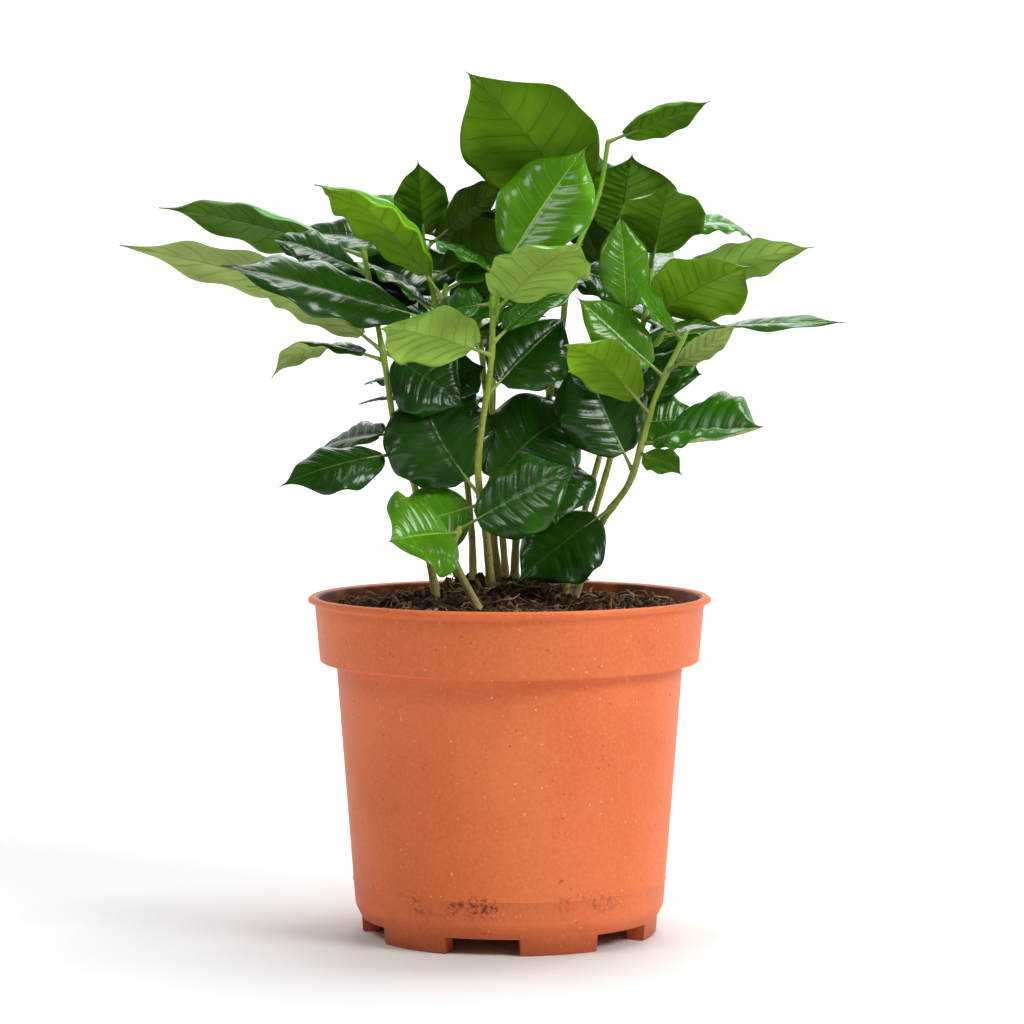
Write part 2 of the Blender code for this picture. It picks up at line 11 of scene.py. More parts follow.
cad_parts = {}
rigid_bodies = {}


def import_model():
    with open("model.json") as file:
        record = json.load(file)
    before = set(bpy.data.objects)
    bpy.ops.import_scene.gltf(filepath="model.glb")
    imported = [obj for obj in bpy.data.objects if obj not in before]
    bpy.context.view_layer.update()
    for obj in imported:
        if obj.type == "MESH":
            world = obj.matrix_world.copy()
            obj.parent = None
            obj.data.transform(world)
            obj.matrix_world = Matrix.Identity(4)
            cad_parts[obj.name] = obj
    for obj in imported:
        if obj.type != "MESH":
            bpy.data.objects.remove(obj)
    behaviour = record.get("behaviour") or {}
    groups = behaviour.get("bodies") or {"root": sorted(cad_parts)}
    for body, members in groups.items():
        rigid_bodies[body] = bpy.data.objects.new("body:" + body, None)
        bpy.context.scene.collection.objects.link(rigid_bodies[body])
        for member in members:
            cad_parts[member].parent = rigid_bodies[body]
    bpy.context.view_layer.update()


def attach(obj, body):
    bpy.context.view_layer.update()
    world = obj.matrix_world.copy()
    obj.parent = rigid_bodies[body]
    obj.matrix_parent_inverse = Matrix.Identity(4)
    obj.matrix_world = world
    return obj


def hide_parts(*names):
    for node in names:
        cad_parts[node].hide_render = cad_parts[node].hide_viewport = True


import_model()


# Camera ------------------------------------------------------------------------------------
# A long lens about a metre in front of the pot's axis, a little above the middle of the plant
# and looking slightly down. MM turns the millimetres below into metres, and AXIS is where the
# pot's axis stands in the frame.
MM = 0.001
AXIS = (7.7, -5.5)
LENS_MM, LENS_SENSOR, LENS_CLIP = 120.76, 36.0, 50
LENS_AWAY, LENS_HIGH, LENS_ASIDE = 1029.8, 187.7, 0.75
LENS_DOWN = 0.0594  # radians below level


def in_frame(points):
    """Points in millimetres from the pot's axis, as metres in the frame."""
    return [((x + AXIS[0]) * MM, (y + AXIS[1]) * MM, z * MM) for x, y, z in points]


lens = bpy.data.cameras.new("camera")
lens.lens, lens.sensor_width, lens.clip_start = LENS_MM, LENS_SENSOR, LENS_CLIP * MM
camera = bpy.data.objects.new("camera", lens)
camera.location = in_frame([(LENS_ASIDE, -LENS_AWAY, LENS_HIGH)])[0]
camera.rotation_euler = (math.pi / 2 - LENS_DOWN, 0.0, 0.0)
bpy.context.scene.collection.objects.link(camera)
bpy.context.scene.camera = camera


# Floor and light ---------------------------------------------------------------------------
# A white studio sweep: a level floor that curves up into a back wall, lit by large soft boxes
# at both sides, overhead and behind, with a faint even sky that fills the shadows.
class Wire:
    """A node's output, on which sums are written as plain expressions."""

    def __init__(self, nodes, socket):
        self.nodes, self.socket = nodes, socket

    def sum(self, operation, *terms):
        return self.nodes.node("ShaderNodeMath", {"operation": operation}, dict(enumerate(terms)))

    def __add__(self, other):
        return self.sum("ADD", self, other)

    def __sub__(self, other):
        return self.sum("SUBTRACT", self, other)

    def __rsub__(self, other):
        return self.sum("SUBTRACT", other, self)

    def __mul__(self, other):
        return self.sum("MULTIPLY", self, other)

    def __truediv__(self, other):
        return self.sum("DIVIDE", self, other)

    def __pow__(self, other):
        return self.sum("POWER", self, other)

    __radd__, __rmul__ = __add__, __mul__

    def __abs__(self):
        return self.sum("ABSOLUTE", self)

    def fraction(self):
        return self.sum("FRACT", self)

    def ramp(self, low, high):
        """0 below low, 1 above high, smooth between them."""
        sockets = {0: self, 1: low, 2: high}
        return self.nodes.node("ShaderNodeMapRange", {"interpolation_type": "SMOOTHSTEP"}, sockets)


class Nodes:
    """A node tree, to which one method adds any node."""

    def node(self, kind, settings=None, sockets=None, out=0):
        node = self.tree.nodes.new(kind)
        for name, value in (settings or {}).items():
            setattr(node, name, value)
        for key, value in (sockets or {}).items():
            self.feed(node.inputs[key], value)
        return Wire(self, node.outputs[out])

    def feed(self, socket, value):
        if isinstance(value, Wire):
            self.tree.links.new(value.socket, socket)
        else:
            socket.default_value = value


class Finish(Nodes):
    """One material. Constants go on the shader's own sockets."""

    def __init__(self, name, **constants):
        self.material = bpy.data.materials.new(name)
        self.material.use_nodes = True
        self.tree = self.material.node_tree
        self.shader = self.tree.nodes["Principled BSDF"]
        self.set(**constants)

    def set(self, **values):
        for socket, value in values.items():
            self.feed(self.shader.inputs[socket.replace("_", " ")], value)

    def place(self):
        """Object coordinates, which the finished pieces share with the frame."""
        return self.node("ShaderNodeTexCoord", out="Object")

    def axis(self, vector, name):
        return self.node("ShaderNodeSeparateXYZ", None, {0: vector}, out=name)

    def noise(self, scale, detail=2.0, rough=0.5, **mapping):
        """Noise on Object coordinates, which a Mapping node may move or stretch."""
        at = self.place()
        if mapping:
            at = self.node("ShaderNodeMapping", None, {"Vector": at, **mapping})
        sockets = {"Vector": at, "Scale": scale, "Detail": detail, "Roughness": rough}
        return self.node("ShaderNodeTexNoise", None, sockets)

    def layered(self, base, *coats):
        """A colour under coats of others, each with its share, the last on top."""
        for share, coat in coats:
            colours = [c if isinstance(c, Wire) else (*c, 1.0) for c in (base, coat)]
            sockets = {0: share, 6: colours[0], 7: colours[1]}
            base = self.node("ShaderNodeMix", {"data_type": "RGBA"}, sockets, out=2)
        return base

    def bump(self, height, deep, strength=1.0):
        sockets = {"Height": height, "Distance": deep, "Strength": strength}
        self.set(Normal=self.node("ShaderNodeBump", None, sockets))


def mesh_object(name, verts, faces, materials=()):
    mesh = bpy.data.meshes.new(name)
    mesh.from_pydata(verts, [], faces)
    ob = bpy.data.objects.new(name, mesh)
    bpy.context.scene.collection.objects.link(ob)
    for material in materials:
        mesh.materials.append(material)
    mesh.shade_smooth()
    return ob


SWEEP_WIDE, SWEEP_NEAR, SWEEP_FAR, SWEEP_HIGH, SWEEP_BEND = 6.0, -3.0, 2.2, 4.0, 1.2
GLOW_NEAR, GLOW_FAR = 0.1, 1.2  # where the sweep begins to glow and where it glows fully, so the back wall is bright of itself
GLOW_LOW, GLOW_HIGH = (0.0, 0.0, 0.0), (0.75, 0.75, 0.75)
PAPER_DULL, PAPER_CLEAN = (0.78, 0.80, 0.80), (0.80, 0.82, 0.82)
sweep = [(SWEEP_NEAR, 0.0), (0.0, 0.0), (SWEEP_FAR - SWEEP_BEND, 0.0)]
sweep += [(SWEEP_FAR - SWEEP_BEND + SWEEP_BEND * math.sin(a), SWEEP_BEND - SWEEP_BEND * math.cos(a))
          for a in (math.radians(9 * k) for k in range(1, 11))]
sweep.append((SWEEP_FAR, SWEEP_HIGH))
white = Finish("studio_floor", Roughness=0.9, Specular_IOR_Level=0.1, Emission_Strength=1.0)
glow = white.axis(white.place(), "Y").ramp(GLOW_NEAR, GLOW_FAR)
white.set(Base_Color=white.layered(PAPER_DULL, (white.noise(3.0), PAPER_CLEAN)),
          Emission_Color=white.layered(GLOW_LOW, (glow, GLOW_HIGH)))
floor = mesh_object(
    "studio_floor", [(x, y, z) for y, z in sweep for x in (-SWEEP_WIDE, SWEEP_WIDE)],
    [(2 * k, 2 * k + 1, 2 * k + 3, 2 * k + 2) for k in range(len(sweep) - 1)], [white.material])

# Soft boxes: name, place, size and watts; each looks at the crown
SOFT_BOXES = (("key", (0.85, -0.60, 0.80), 0.45, 9.8), ("overhead", (0.20, 0.16, 1.15), 0.5, 8.0),
              ("left", (-0.62, -0.42, 1.00), 0.38, 3.0), ("rear", (0.1, 0.9, 0.9), 0.6, 3.0))
LIT_CROWN = Vector((0.0, 0.0, 0.16))
for label, place, size, watts in SOFT_BOXES:
    lamp = bpy.data.lights.new(label, "AREA")
    lamp.shape, lamp.size, lamp.energy = "SQUARE", size, watts
    box = bpy.data.objects.new(label, lamp)
    box.location = place
    box.rotation_euler = (LIT_CROWN - Vector(place)).to_track_quat("-Z", "Y").to_euler()
    bpy.context.scene.collection.objects.link(box)

SKY_STRENGTH = 0.15
sky = bpy.data.worlds.new("sky")
sky.use_nodes = True
sky.node_tree.nodes["Background"].inputs["Color"].default_value = (1.0, 1.0, 1.0, 1.0)
sky.node_tree.nodes["Background"].inputs["Strength"].default_value = SKY_STRENGTH
bpy.context.scene.world = sky
bpy.context.scene.view_settings.view_transform = "Standard"


# Pot ---------------------------------------------------------------------------------------
# A thin injection-moulded nursery pot of terracotta-coloured plastic: a tapering body, a deep
# collar with a rolled lip, and a floor with six drain holes on six feet. It is one piece, and
# the mould's parting line runs round it above the feet, where splashed peat has dried.
POT_FOOT_R, POT_FOOT_DEPTH, POT_FOOT_TAPER = 44.3, 5.5, 0.3
# In degrees: each foot's width, the heading of the first one's middle and how far a foot's side slants
POT_FOOT_WIDE, POT_FOOT_FIRST, POT_FOOT_SIDE = 31.0, -70.4, 0.25
POT_FEET, POT_FOOT_STEPS, POT_GAP_STEPS = 6, 22, 20
POT_FLOOR_Z, POT_FLOOR_THICK, POT_WALL = 5.0, 1.8, 1.3
POT_HEEL_Z, POT_HEEL_R = 8.7, 46.5
POT_NECK_Z, POT_NECK_R = 81.5, 52.1
POT_COLLAR_LOW_R, POT_COLLAR_HIGH_R = 57.2, 58.5
POT_LIP_UNDER_Z, POT_LIP_Z, POT_LIP_R = 99.0, 101.7, 60.5
DRAIN_HOLE_R, DRAIN_HOLE_AT, DRAIN_HOLE_SIDES = 3.5, 30.0, 24
PARTING_Z = 16.2
COLLAR_INNER_Z = POT_NECK_Z + 2.4  # where the inner wall steps out into the collar
SHARP_EDGE = math.radians(38)


def rounded(corners):
    """A profile through corners (radius, height, round), each cut by a curve as wide as its round."""
    points = [np.array(corner[:2]) for corner in corners]
    out = []
    for k, p in enumerate(points):
        size = corners[k][2]
        if not size:
            out.append(tuple(p))
            continue
        a, b = (p + (q - p) / np.linalg.norm(q - p) * size for q in (points[k - 1], points[k + 1]))
        out += [tuple((1 - t) ** 2 * a + 2 * t * (1 - t) * p + t * t * b) for t in (0, 0.25, 0.5, 0.75, 1)]
    return out


def rings_joined(rings, n, inward=False):
    """Faces between rings of n points, each ring after the last; inward turns them over."""
    faces = []
    for k in range(rings - 1):
        for i in range(n):
            j = (i + 1) % n
            a, b, c, d = k * n + i, k * n + j, (k + 1) * n + j, (k + 1) * n + i
            faces.append((a, d, c, b) if inward else (a, b, c, d))
    return faces


def pot_mesh():
    w = POT_WALL
    inner_foot = POT_FOOT_R - POT_FOOT_DEPTH
    profile = rounded((
        (inner_foot, POT_FLOOR_Z, 0), (inner_foot, 0.0, 0), (POT_FOOT_R - 0.5, 0.0, 0),
        (POT_FOOT_R, 0.6, 0), (POT_FOOT_R + POT_FOOT_TAPER, POT_FLOOR_Z, 0), (POT_HEEL_R, POT_HEEL_Z, 1.2),
        (POT_HEEL_R + 0.55, PARTING_Z - 0.3, 0), (POT_HEEL_R + 0.82, PARTING_Z, 0),
        (POT_HEEL_R + 0.62, PARTING_Z + 0.35, 0), (POT_NECK_R, POT_NECK_Z, 0.8),
        (POT_COLLAR_LOW_R - 0.2, POT_NECK_Z + 0.3, 0.9), (POT_COLLAR_HIGH_R, POT_LIP_UNDER_Z, 0.7),
        (POT_LIP_R, POT_LIP_UNDER_Z + 0.9, 0.8), (POT_LIP_R, POT_LIP_Z - 1.0, 0.8),
        (POT_LIP_R - 1.0, POT_LIP_Z, 0.7), (POT_COLLAR_HIGH_R - w, POT_LIP_Z - 0.6, 0.6),
        (POT_COLLAR_LOW_R - w, COLLAR_INNER_Z, 0), (POT_NECK_R - w, POT_NECK_Z - 0.6, 0),
        (POT_HEEL_R - w, POT_FLOOR_Z + POT_FLOOR_THICK, 0)))
    feet = 4  # the profile's points that stand on the floor only within a foot
    between = 360 / POT_FEET
    gap = between - POT_FOOT_WIDE - 2 * POT_FOOT_SIDE
    spins = []
    for f in range(POT_FEET):
        edge = POT_FOOT_FIRST - POT_FOOT_WIDE / 2 + between * f
        spins += [(edge + POT_FOOT_WIDE * k / POT_FOOT_STEPS, True) for k in range(POT_FOOT_STEPS + 1)]
        edge += POT_FOOT_WIDE + POT_FOOT_SIDE
        spins += [(edge + gap * k / POT_GAP_STEPS, False) for k in range(POT_GAP_STEPS + 1)]
    verts, rows = [], len(spins)
    for k, (radius, height) in enumerate(profile):
        for angle, stands in spins:
            r, z, a = radius, height, math.radians(angle)
            if not stands and k < feet:
                r, z = inner_foot + POT_FOOT_DEPTH * k / feet, POT_FLOOR_Z
            verts.append((r * math.cos(a), r * math.sin(a), z))
    faces = rings_joined(len(profile), rows)
    middle, last = len(verts), len(verts) - rows
    verts += [(0, 0, POT_FLOOR_Z), (0, 0, POT_FLOOR_Z + POT_FLOOR_THICK)]
    for i in range(rows):
        j = (i + 1) % rows
        faces += [(middle, j, i), (middle + 1, last + i, last + j)]
    return in_frame(verts), faces


# Dried splashes lie in a band round the parting line, worst a little left of the front and
# slight to the right: where each patch is centred and how far it reaches
SPLASH_Z, SPLASH_REACH = PARTING_Z - 1.6, 4.2
WORST_X, WORST_REACH = -16, 20
SLIGHT_X, SLIGHT_REACH = 22, 11
TERRACOTTA_DULL, TERRACOTTA_CLEAN = (0.74, 0.152, 0.042), (0.81, 0.186, 0.056)
TERRACOTTA_GRAIN, TERRACOTTA_SPECK = (0.90, 0.32, 0.14), (0.95, 0.60, 0.38)
PIT_BROWN, SPLASH_BROWN = (0.20, 0.050, 0.022), (0.115, 0.047, 0.022)
# The red darkens the pot towards the bottom; the brown is painted shade on the collar's inner wall, mottled
# by peat smears
DARKER_LOW_RED, SHADE_AND_SMEAR_BROWN = (0.33, 0.062, 0.024), (0.095, 0.036, 0.018)
COLLAR_FLARE = 0.075  # how fast the collar widens with height

plastic = Finish("pot_plastic", Metallic=0.0, IOR=1.46, Specular_IOR_Level=0.3)
spot = plastic.place()
high = plastic.axis(spot, "Z") / MM
across = plastic.axis(spot, "X") / MM - AXIS[0]
behind = plastic.axis(spot, "Y") / MM - AXIS[1]
mottle = plastic.noise(28.0, 3.0)
grain = plastic.noise(900.0, 2.0)
speck = plastic.noise(950.0, 0.0)
pit = plastic.noise(700.0, 1.0, Location=(3.0, 1.0, 2.0))
band = 1 - (abs(high - SPLASH_Z) / SPLASH_REACH).ramp(0.25, 1.0)
worst = 1 - (abs(across - WORST_X) / WORST_REACH).ramp(0.45, 1.0)
slight = (1 - (abs(across - SLIGHT_X) / SLIGHT_REACH).ramp(0.4, 1.0)) * 0.55
patch = plastic.noise(120.0, 2.0).ramp(0.36, 0.60) * (worst + slight + 0.08)
crust = plastic.noise(700.0, 3.0, 0.7).ramp(0.46, 0.60)
splash = band * patch * crust
# The plastic is a darker red towards the bottom, up to 11 mm from the floor, and a little darker under the
# splashes
darker_low = (1 - high.ramp(1.0, 11.0)) * 0.55 + splash * 0.2
# Painted shade on the collar's inner wall above the peat: a dark brown laid over all of it, mottled by peat
# smears
collar = (across ** 2 + behind ** 2) ** 0.5 - (high - POT_NECK_Z) * COLLAR_FLARE
inside = (1 - collar.ramp(POT_COLLAR_LOW_R - 0.9, POT_COLLAR_LOW_R - 0.5)) * high.ramp(88.0, 90.0)
inner_shade_and_smear = inside * (0.45 + plastic.noise(90.0, 3.0).ramp(0.35, 0.65) * 0.55)
plastic.set(Base_Color=plastic.layered(
    TERRACOTTA_DULL, (mottle.ramp(0.3, 0.7), TERRACOTTA_CLEAN),
    (grain.ramp(0.35, 0.75) * 0.22, TERRACOTTA_GRAIN), (speck.ramp(0.81, 0.85) * 0.5, TERRACOTTA_SPECK),
    (pit.ramp(0.745, 0.78) * 0.6, PIT_BROWN), (splash * 0.8, SPLASH_BROWN), (darker_low, DARKER_LOW_RED),
    (inner_shade_and_smear * 0.85, SHADE_AND_SMEAR_BROWN)))
plastic.set(Roughness=0.42 + grain * 0.16 + splash * 0.3)
plastic.bump(grain * 0.5 + crust * splash + plastic.noise(120.0, 1.0) * 0.6, 0.00022, 0.5)


def made_plain(ob):
    """Turns an object and its modifiers into one plain mesh."""
    bpy.context.view_layer.update()
    deps = bpy.context.evaluated_depsgraph_get()
    mesh = bpy.data.meshes.new_from_object(ob.evaluated_get(deps))
    ob.modifiers.clear()
    ob.data = mesh


pot = mesh_object("pot_moulded", *pot_mesh(), [plastic.material])
drains = []
for f in range(POT_FEET):
    a = math.radians(POT_FOOT_FIRST + 180 / POT_FEET + 360 / POT_FEET * f)
    middle = (DRAIN_HOLE_AT * math.cos(a), DRAIN_HOLE_AT * math.sin(a), POT_FLOOR_Z + POT_FLOOR_THICK / 2)
    bm = bmesh.new()
    bmesh.ops.create_cone(bm, cap_ends=True, segments=DRAIN_HOLE_SIDES, radius1=DRAIN_HOLE_R * MM,
                          radius2=DRAIN_HOLE_R * MM, depth=2 * POT_FLOOR_THICK * MM)
    bmesh.ops.translate(bm, verts=bm.verts, vec=in_frame([middle])[0])
    drain = mesh_object(f"drain_{f}", [], [])
    bm.to_mesh(drain.data)
    bm.free()
    drains.append(drain)
    cut = pot.modifiers.new("drain", "BOOLEAN")
    cut.operation, cut.object, cut.solver = "DIFFERENCE", drain, "EXACT"
made_plain(pot)
for drain in drains:
    bpy.data.objects.remove(drain)
pot.data.shade_smooth()
pot.data.set_sharp_from_angle(angle=SHARP_EDGE)
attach(pot, "root")
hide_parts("pot")


# Peat --------------------------------------------------------------------------------------
# Dark damp peat that fills the pot to just under its lip and is heaped round the stems. Its
# skin is lumpy, and loose crumbs, bark chips, pale root fibres and grains of perlite lie on it.
PEAT_EDGE_Z, MOUND_RISE = 96.5, 8.6
MOUND_X, MOUND_Y, MOUND_WIDE, MOUND_DEEP = -4.0, 10.0, 27.0, 21.0
GAP = 0.3  # between the pot and the peat
PEAT_RINGS, PEAT_SIDES, PEAT_SHARP = 70, 200, math.radians(60)
PEAT_SHRUNK, PEAT_SINK = 0.15, 1.2  # the edge has drawn back from the wall and sunk there
COLLAR_SLOPE = (POT_COLLAR_HIGH_R - POT_COLLAR_LOW_R) / (POT_LIP_UNDER_Z - COLLAR_INNER_Z)
WALL_AT_PEAT = POT_COLLAR_LOW_R - POT_WALL + COLLAR_SLOPE * (PEAT_EDGE_Z - COLLAR_INNER_Z)
# Waves of the skin's lumps: how close, how deep and which way they run
LUMPS = ((0.21, 0.9, 0.3), (0.47, 0.55, 1.4), (0.93, 0.35, 2.2), (1.9, 0.25, 0.8))


def peat_height(x, y):
    """The peat's surface over a point measured from the pot's axis."""
    hill = math.exp(-(((x - MOUND_X) / MOUND_WIDE) ** 2 + ((y - MOUND_Y) / MOUND_DEEP) ** 2))
    return PEAT_EDGE_Z + MOUND_RISE * hill


def lumps(x, y):
    """Unevenness of the peat's skin, in millimetres."""
    total = 0.0
    for wave, deep, turn in LUMPS:
        c, s = math.cos(turn), math.sin(turn)
        total += deep * math.sin(wave * (c * x + s * y) + 3 * turn) * math.cos(wave * (c * y - s * x) * 1.13)
    return total


def peat_ring(r, sides, lumpy=1.0, sink=0.0):
    """A ring of points on the peat's skin, at a radius from the pot's axis."""
    spots = [(r * math.cos(a), r * math.sin(a)) for a in (2 * math.pi * i / sides for i in range(sides))]
    return [(x, y, peat_height(x, y) + lumps(x, y) * lumpy - sink) for x, y in spots]


def peat_mesh():
    low = POT_FLOOR_Z + POT_FLOOR_THICK + GAP
    inner = ((POT_HEEL_R, low), (POT_NECK_R, POT_NECK_Z - 0.6), (POT_COLLAR_LOW_R, COLLAR_INNER_Z + GAP))
    spin = [2 * math.pi * i / PEAT_SIDES for i in range(PEAT_SIDES)]
    verts = [((r - POT_WALL - GAP) * math.cos(a), (r - POT_WALL - GAP) * math.sin(a), z)
             for r, z in inner for a in spin]
    for k in range(PEAT_RINGS):
        r = (WALL_AT_PEAT - GAP - PEAT_SHRUNK) * (1 - k / PEAT_RINGS)
        verts += peat_ring(r, PEAT_SIDES, min(1.0, 0.3 + k / 6), 0.0 if k else PEAT_SINK)
    faces = rings_joined(len(inner) + PEAT_RINGS, PEAT_SIDES)
    top, last = len(verts), len(verts) - PEAT_SIDES
    verts += [(0, 0, peat_height(0, 0) + lumps(0, 0)), (0, 0, low)]
    for i in range(PEAT_SIDES):
        j = (i + 1) % PEAT_SIDES
        faces += [(last + i, last + j, top), (j, i, top + 1)]
    return in_frame(verts), faces


def litter_finish(name, dark, light, scale, roughness):
    """Matt plant litter, mottled from a dark to a light colour."""
    finish = Finish(name, Specular_IOR_Level=0.2)
    mottle = finish.noise(scale, 4.0, 0.65)
    finish.set(Base_Color=finish.layered(dark, (mottle.ramp(0.32, 0.68), light)),
               Roughness=roughness + mottle * 0.1)
    finish.bump(finish.noise(scale * 4, 4.0, 0.7), 0.0006, 0.8)
    return finish.material


peat_skin = litter_finish("peat_damp", (0.016, 0.008, 0.005), (0.115, 0.052, 0.026), 260.0, 0.85)
peat = mesh_object("peat_heap", *peat_mesh(), [peat_skin])
peat.data.set_sharp_from_angle(angle=PEAT_SHARP)
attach(peat, "root")
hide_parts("peat")


class Grower(Nodes):
    """A Geometry Nodes tree with named inputs, whose first is the geometry that it grows on."""

    def __init__(self, name):
        self.tree = bpy.data.node_groups.new(name, "GeometryNodeTree")
        self.tree.interface.new_socket("Geometry", in_out="INPUT", socket_type="NodeSocketGeometry")
        self.tree.interface.new_socket("Geometry", in_out="OUTPUT", socket_type="NodeSocketGeometry")
        self.start = self.tree.nodes.new("NodeGroupInput")
        self.ids = {}

    def inputs(self, **kinds):
        """Adds inputs of the named kinds, and gives the geometry and each of them."""
        for name, kind in kinds.items():
            item = self.tree.interface.new_socket(name, in_out="INPUT", socket_type="NodeSocket" + kind)
            self.ids[name] = item.identifier
        return [Wire(self, self.start.outputs[name]) for name in ("Geometry", *kinds)]

    def strewn(self, thing, on, count, seed, least_turn, most_turn, size):
        """Copies of a thing at random points of a surface, each turned at random, as real meshes."""
        points = self.node("GeometryNodeDistributePointsOnFaces", None,
                           {"Mesh": on, "Density": count, "Seed": seed})
        turn = self.node("FunctionNodeRandomValue", {"data_type": "FLOAT_VECTOR"},
                         {0: least_turn, 1: most_turn, "Seed": seed})
        copies = self.node("GeometryNodeInstanceOnPoints", None,
                           {"Points": points, "Instance": thing, "Rotation": turn, "Scale": size})
        return self.node("GeometryNodeRealizeInstances", None, {0: copies})

    def chance(self, least, seed):
        """A random number from least to 1 for each copy."""
        return self.node("FunctionNodeRandomValue", {"data_type": "FLOAT"}, {2: least, 3: 1.0, "Seed": seed},
                         out=1)

    def bent(self, geometry, scale, still, reach):
        """Shifts each point by a noise of a scale; where the noise equals still, nothing moves."""
        where = self.node("GeometryNodeInputPosition")
        noise = self.node("ShaderNodeTexNoise", None, {"Vector": where, "Scale": scale, "Detail": 1.0},
                          out="Color")
        shift = self.node("ShaderNodeVectorMath", {"operation": "SUBTRACT"}, {0: noise, 1: still})
        shift = self.node("ShaderNodeVectorMath", {"operation": "SCALE"}, {0: shift, "Scale": reach})
        return self.node("GeometryNodeSetPosition", None, {"Geometry": geometry, "Offset": shift})

    def end(self, geometry, material):
        real = self.node("GeometryNodeRealizeInstances", None, {0: geometry})
        last = self.node("GeometryNodeSetMaterial", None, {"Geometry": real, "Material": material})
        self.feed(self.tree.nodes.new("NodeGroupOutput").inputs[0], last)
        return self

    def grow(self, name, base, **values):
        """Runs the tree on a base mesh with its inputs set, and keeps the result as a plain mesh."""
        ob = bpy.data.objects.new(name, base)
        bpy.context.scene.collection.objects.link(ob)
        mod = ob.modifiers.new("grow", "NODES")
        mod.node_group = self.tree
        for key, value in values.items():
            mod[self.ids[key]] = value
        made_plain(ob)
        ob.data.shade_smooth()
        return ob


LUMP_FACETS, DENT_SCALE = 2, 700.0
LITTLE_MOSTLY = 2.2  # the power that makes small lumps commoner than large ones
FULL_TURN = 6.28
STREWN_RINGS, STREWN_SIDES, STREWN_CLEAR = 14, 60, 1.6  # clear of the pot's wall


def litter_tree():
    """Lumps scattered over a surface: each is turned, sized and dented at random."""
    g = Grower("litter")
    on, count, seed, small, large, squash, dent, material = g.inputs(
        Density="Float", Seed="Int", Smallest="Float", Largest="Float", Proportions="Vector",
        Dents="Float", Material="Material")
    lump = g.node("GeometryNodeMeshIcoSphere", None, {"Radius": 0.5, "Subdivisions": LUMP_FACETS})
    lump = g.node("GeometryNodeTransform", None, {"Geometry": lump, "Scale": squash})
    skew = g.chance(0.0, seed) ** LITTLE_MOSTLY
    size = g.node("ShaderNodeMapRange", None, {0: skew, 3: small, 4: large})
    lumps = g.strewn(lump, on, count, seed, (0.0,) * 3, (FULL_TURN,) * 3, size)
    return g.end(g.bent(lumps, DENT_SCALE, (0.5, 0.5, 0.5), large * dent), material)


def peat_top(reach=1.0):
    """The upper skin of the peat out to a share of its width, as a sheet to strew on."""
    verts = []
    for k in range(STREWN_RINGS + 1):
        verts += peat_ring((WALL_AT_PEAT - STREWN_CLEAR) * reach * k / STREWN_RINGS, STREWN_SIDES)
    mesh = bpy.data.meshes.new("peat_top")
    mesh.from_pydata(in_frame(verts), [], rings_joined(STREWN_RINGS + 1, STREWN_SIDES, inward=True))
    return mesh


# Each kind of litter: its colours, the scale of its mottling and its roughness, then how densely
# it lies, its seed, its least and greatest size, its proportions and how dented it is
LITTER = (
    ("peat_crumbs", ("peat_crumb", (0.010, 0.005, 0.003), (0.070, 0.034, 0.018), 420.0, 0.9),
     175000.0, 3, 0.0007, 0.0042, (1.0, 1.0, 0.8), 0.85),
    ("peat_clods", ("peat_clod", (0.045, 0.020, 0.010), (0.17, 0.088, 0.045), 380.0, 0.85),
     95000.0, 11, 0.0005, 0.0030, (1.3, 0.8, 0.7), 0.85),
    ("bark_chips", ("bark_chip", (0.065, 0.024, 0.011), (0.26, 0.125, 0.062), 300.0, 0.75),
     12000.0, 23, 0.0015, 0.0058, (1.4, 0.55, 0.28), 0.45),
    ("perlite_grains", ("perlite", (0.38, 0.28, 0.18), (0.80, 0.70, 0.55), 500.0, 0.8),
     3300.0, 31, 0.0008, 0.0032, (1.0, 0.9, 0.8), 0.5),
)
scattered = litter_tree()
for label, finish, dense, seed, small, large, shape, dents in LITTER:
    litter = scattered.grow(label, peat_top(), Density=dense, Seed=seed, Smallest=small, Largest=large,
                            Proportions=shape, Dents=dents, Material=litter_finish(*finish))
    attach(litter, "root")


FIBRE_POINTS, FIBRE_SIDES, FIBRE_SHORTEST = 9, 4, 0.35
FIBRE_TILT = (0.35, 0.45)  # radians either way, since a fibre lies nearly flat
FIBRE_WIND, FIBRE_STILL = 150.0, (0.5, 0.5, 0.42)  # it winds, and arches up a little


def fibre_tree():
    """Thin bent root fibres lying on a surface, each a short curve with a round section."""
    g = Grower("fibres")
    on, count, seed, long, thick, bend, material = g.inputs(
        Density="Float", Seed="Int", Length="Float", Radius="Float", Bend="Float", Material="Material")
    thread = g.node("GeometryNodeCurvePrimitiveLine", None, {"Start": (-0.5, 0, 0), "End": (0.5, 0, 0)})
    thread = g.node("GeometryNodeResampleCurve", None, {"Curve": thread, "Count": FIBRE_POINTS})
    size = g.chance(FIBRE_SHORTEST, seed) * long
    back, forth = (-FIBRE_TILT[0], -FIBRE_TILT[1], 0.0), (*FIBRE_TILT, FULL_TURN)
    threads = g.bent(g.strewn(thread, on, count, seed, back, forth, size), FIBRE_WIND, FIBRE_STILL, bend)
    ring = g.node("GeometryNodeCurvePrimitiveCircle", None, {"Resolution": FIBRE_SIDES, "Radius": thick})
    sockets = {"Curve": threads, "Profile Curve": ring, "Fill Caps": True}
    return g.end(g.node("GeometryNodeCurveToMesh", None, sockets), material)


matted = fibre_tree()
straw = litter_finish("root_fibre", (0.16, 0.085, 0.040), (0.52, 0.34, 0.19), 240.0, 0.7)
FIBRES_REACH = 0.97
FIBRES = (("fibres_fine", 62000.0, 5, 0.010, 0.00011, 0.010),
          ("fibres_stout", 7000.0, 8, 0.017, 0.00024, 0.012))
for label, dense, seed, long, thick, bend in FIBRES:
    fibres = matted.grow(label, peat_top(FIBRES_REACH), Density=dense, Seed=seed, Length=long,
                         Radius=thick, Bend=bend, Material=straw)
    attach(fibres, "root")


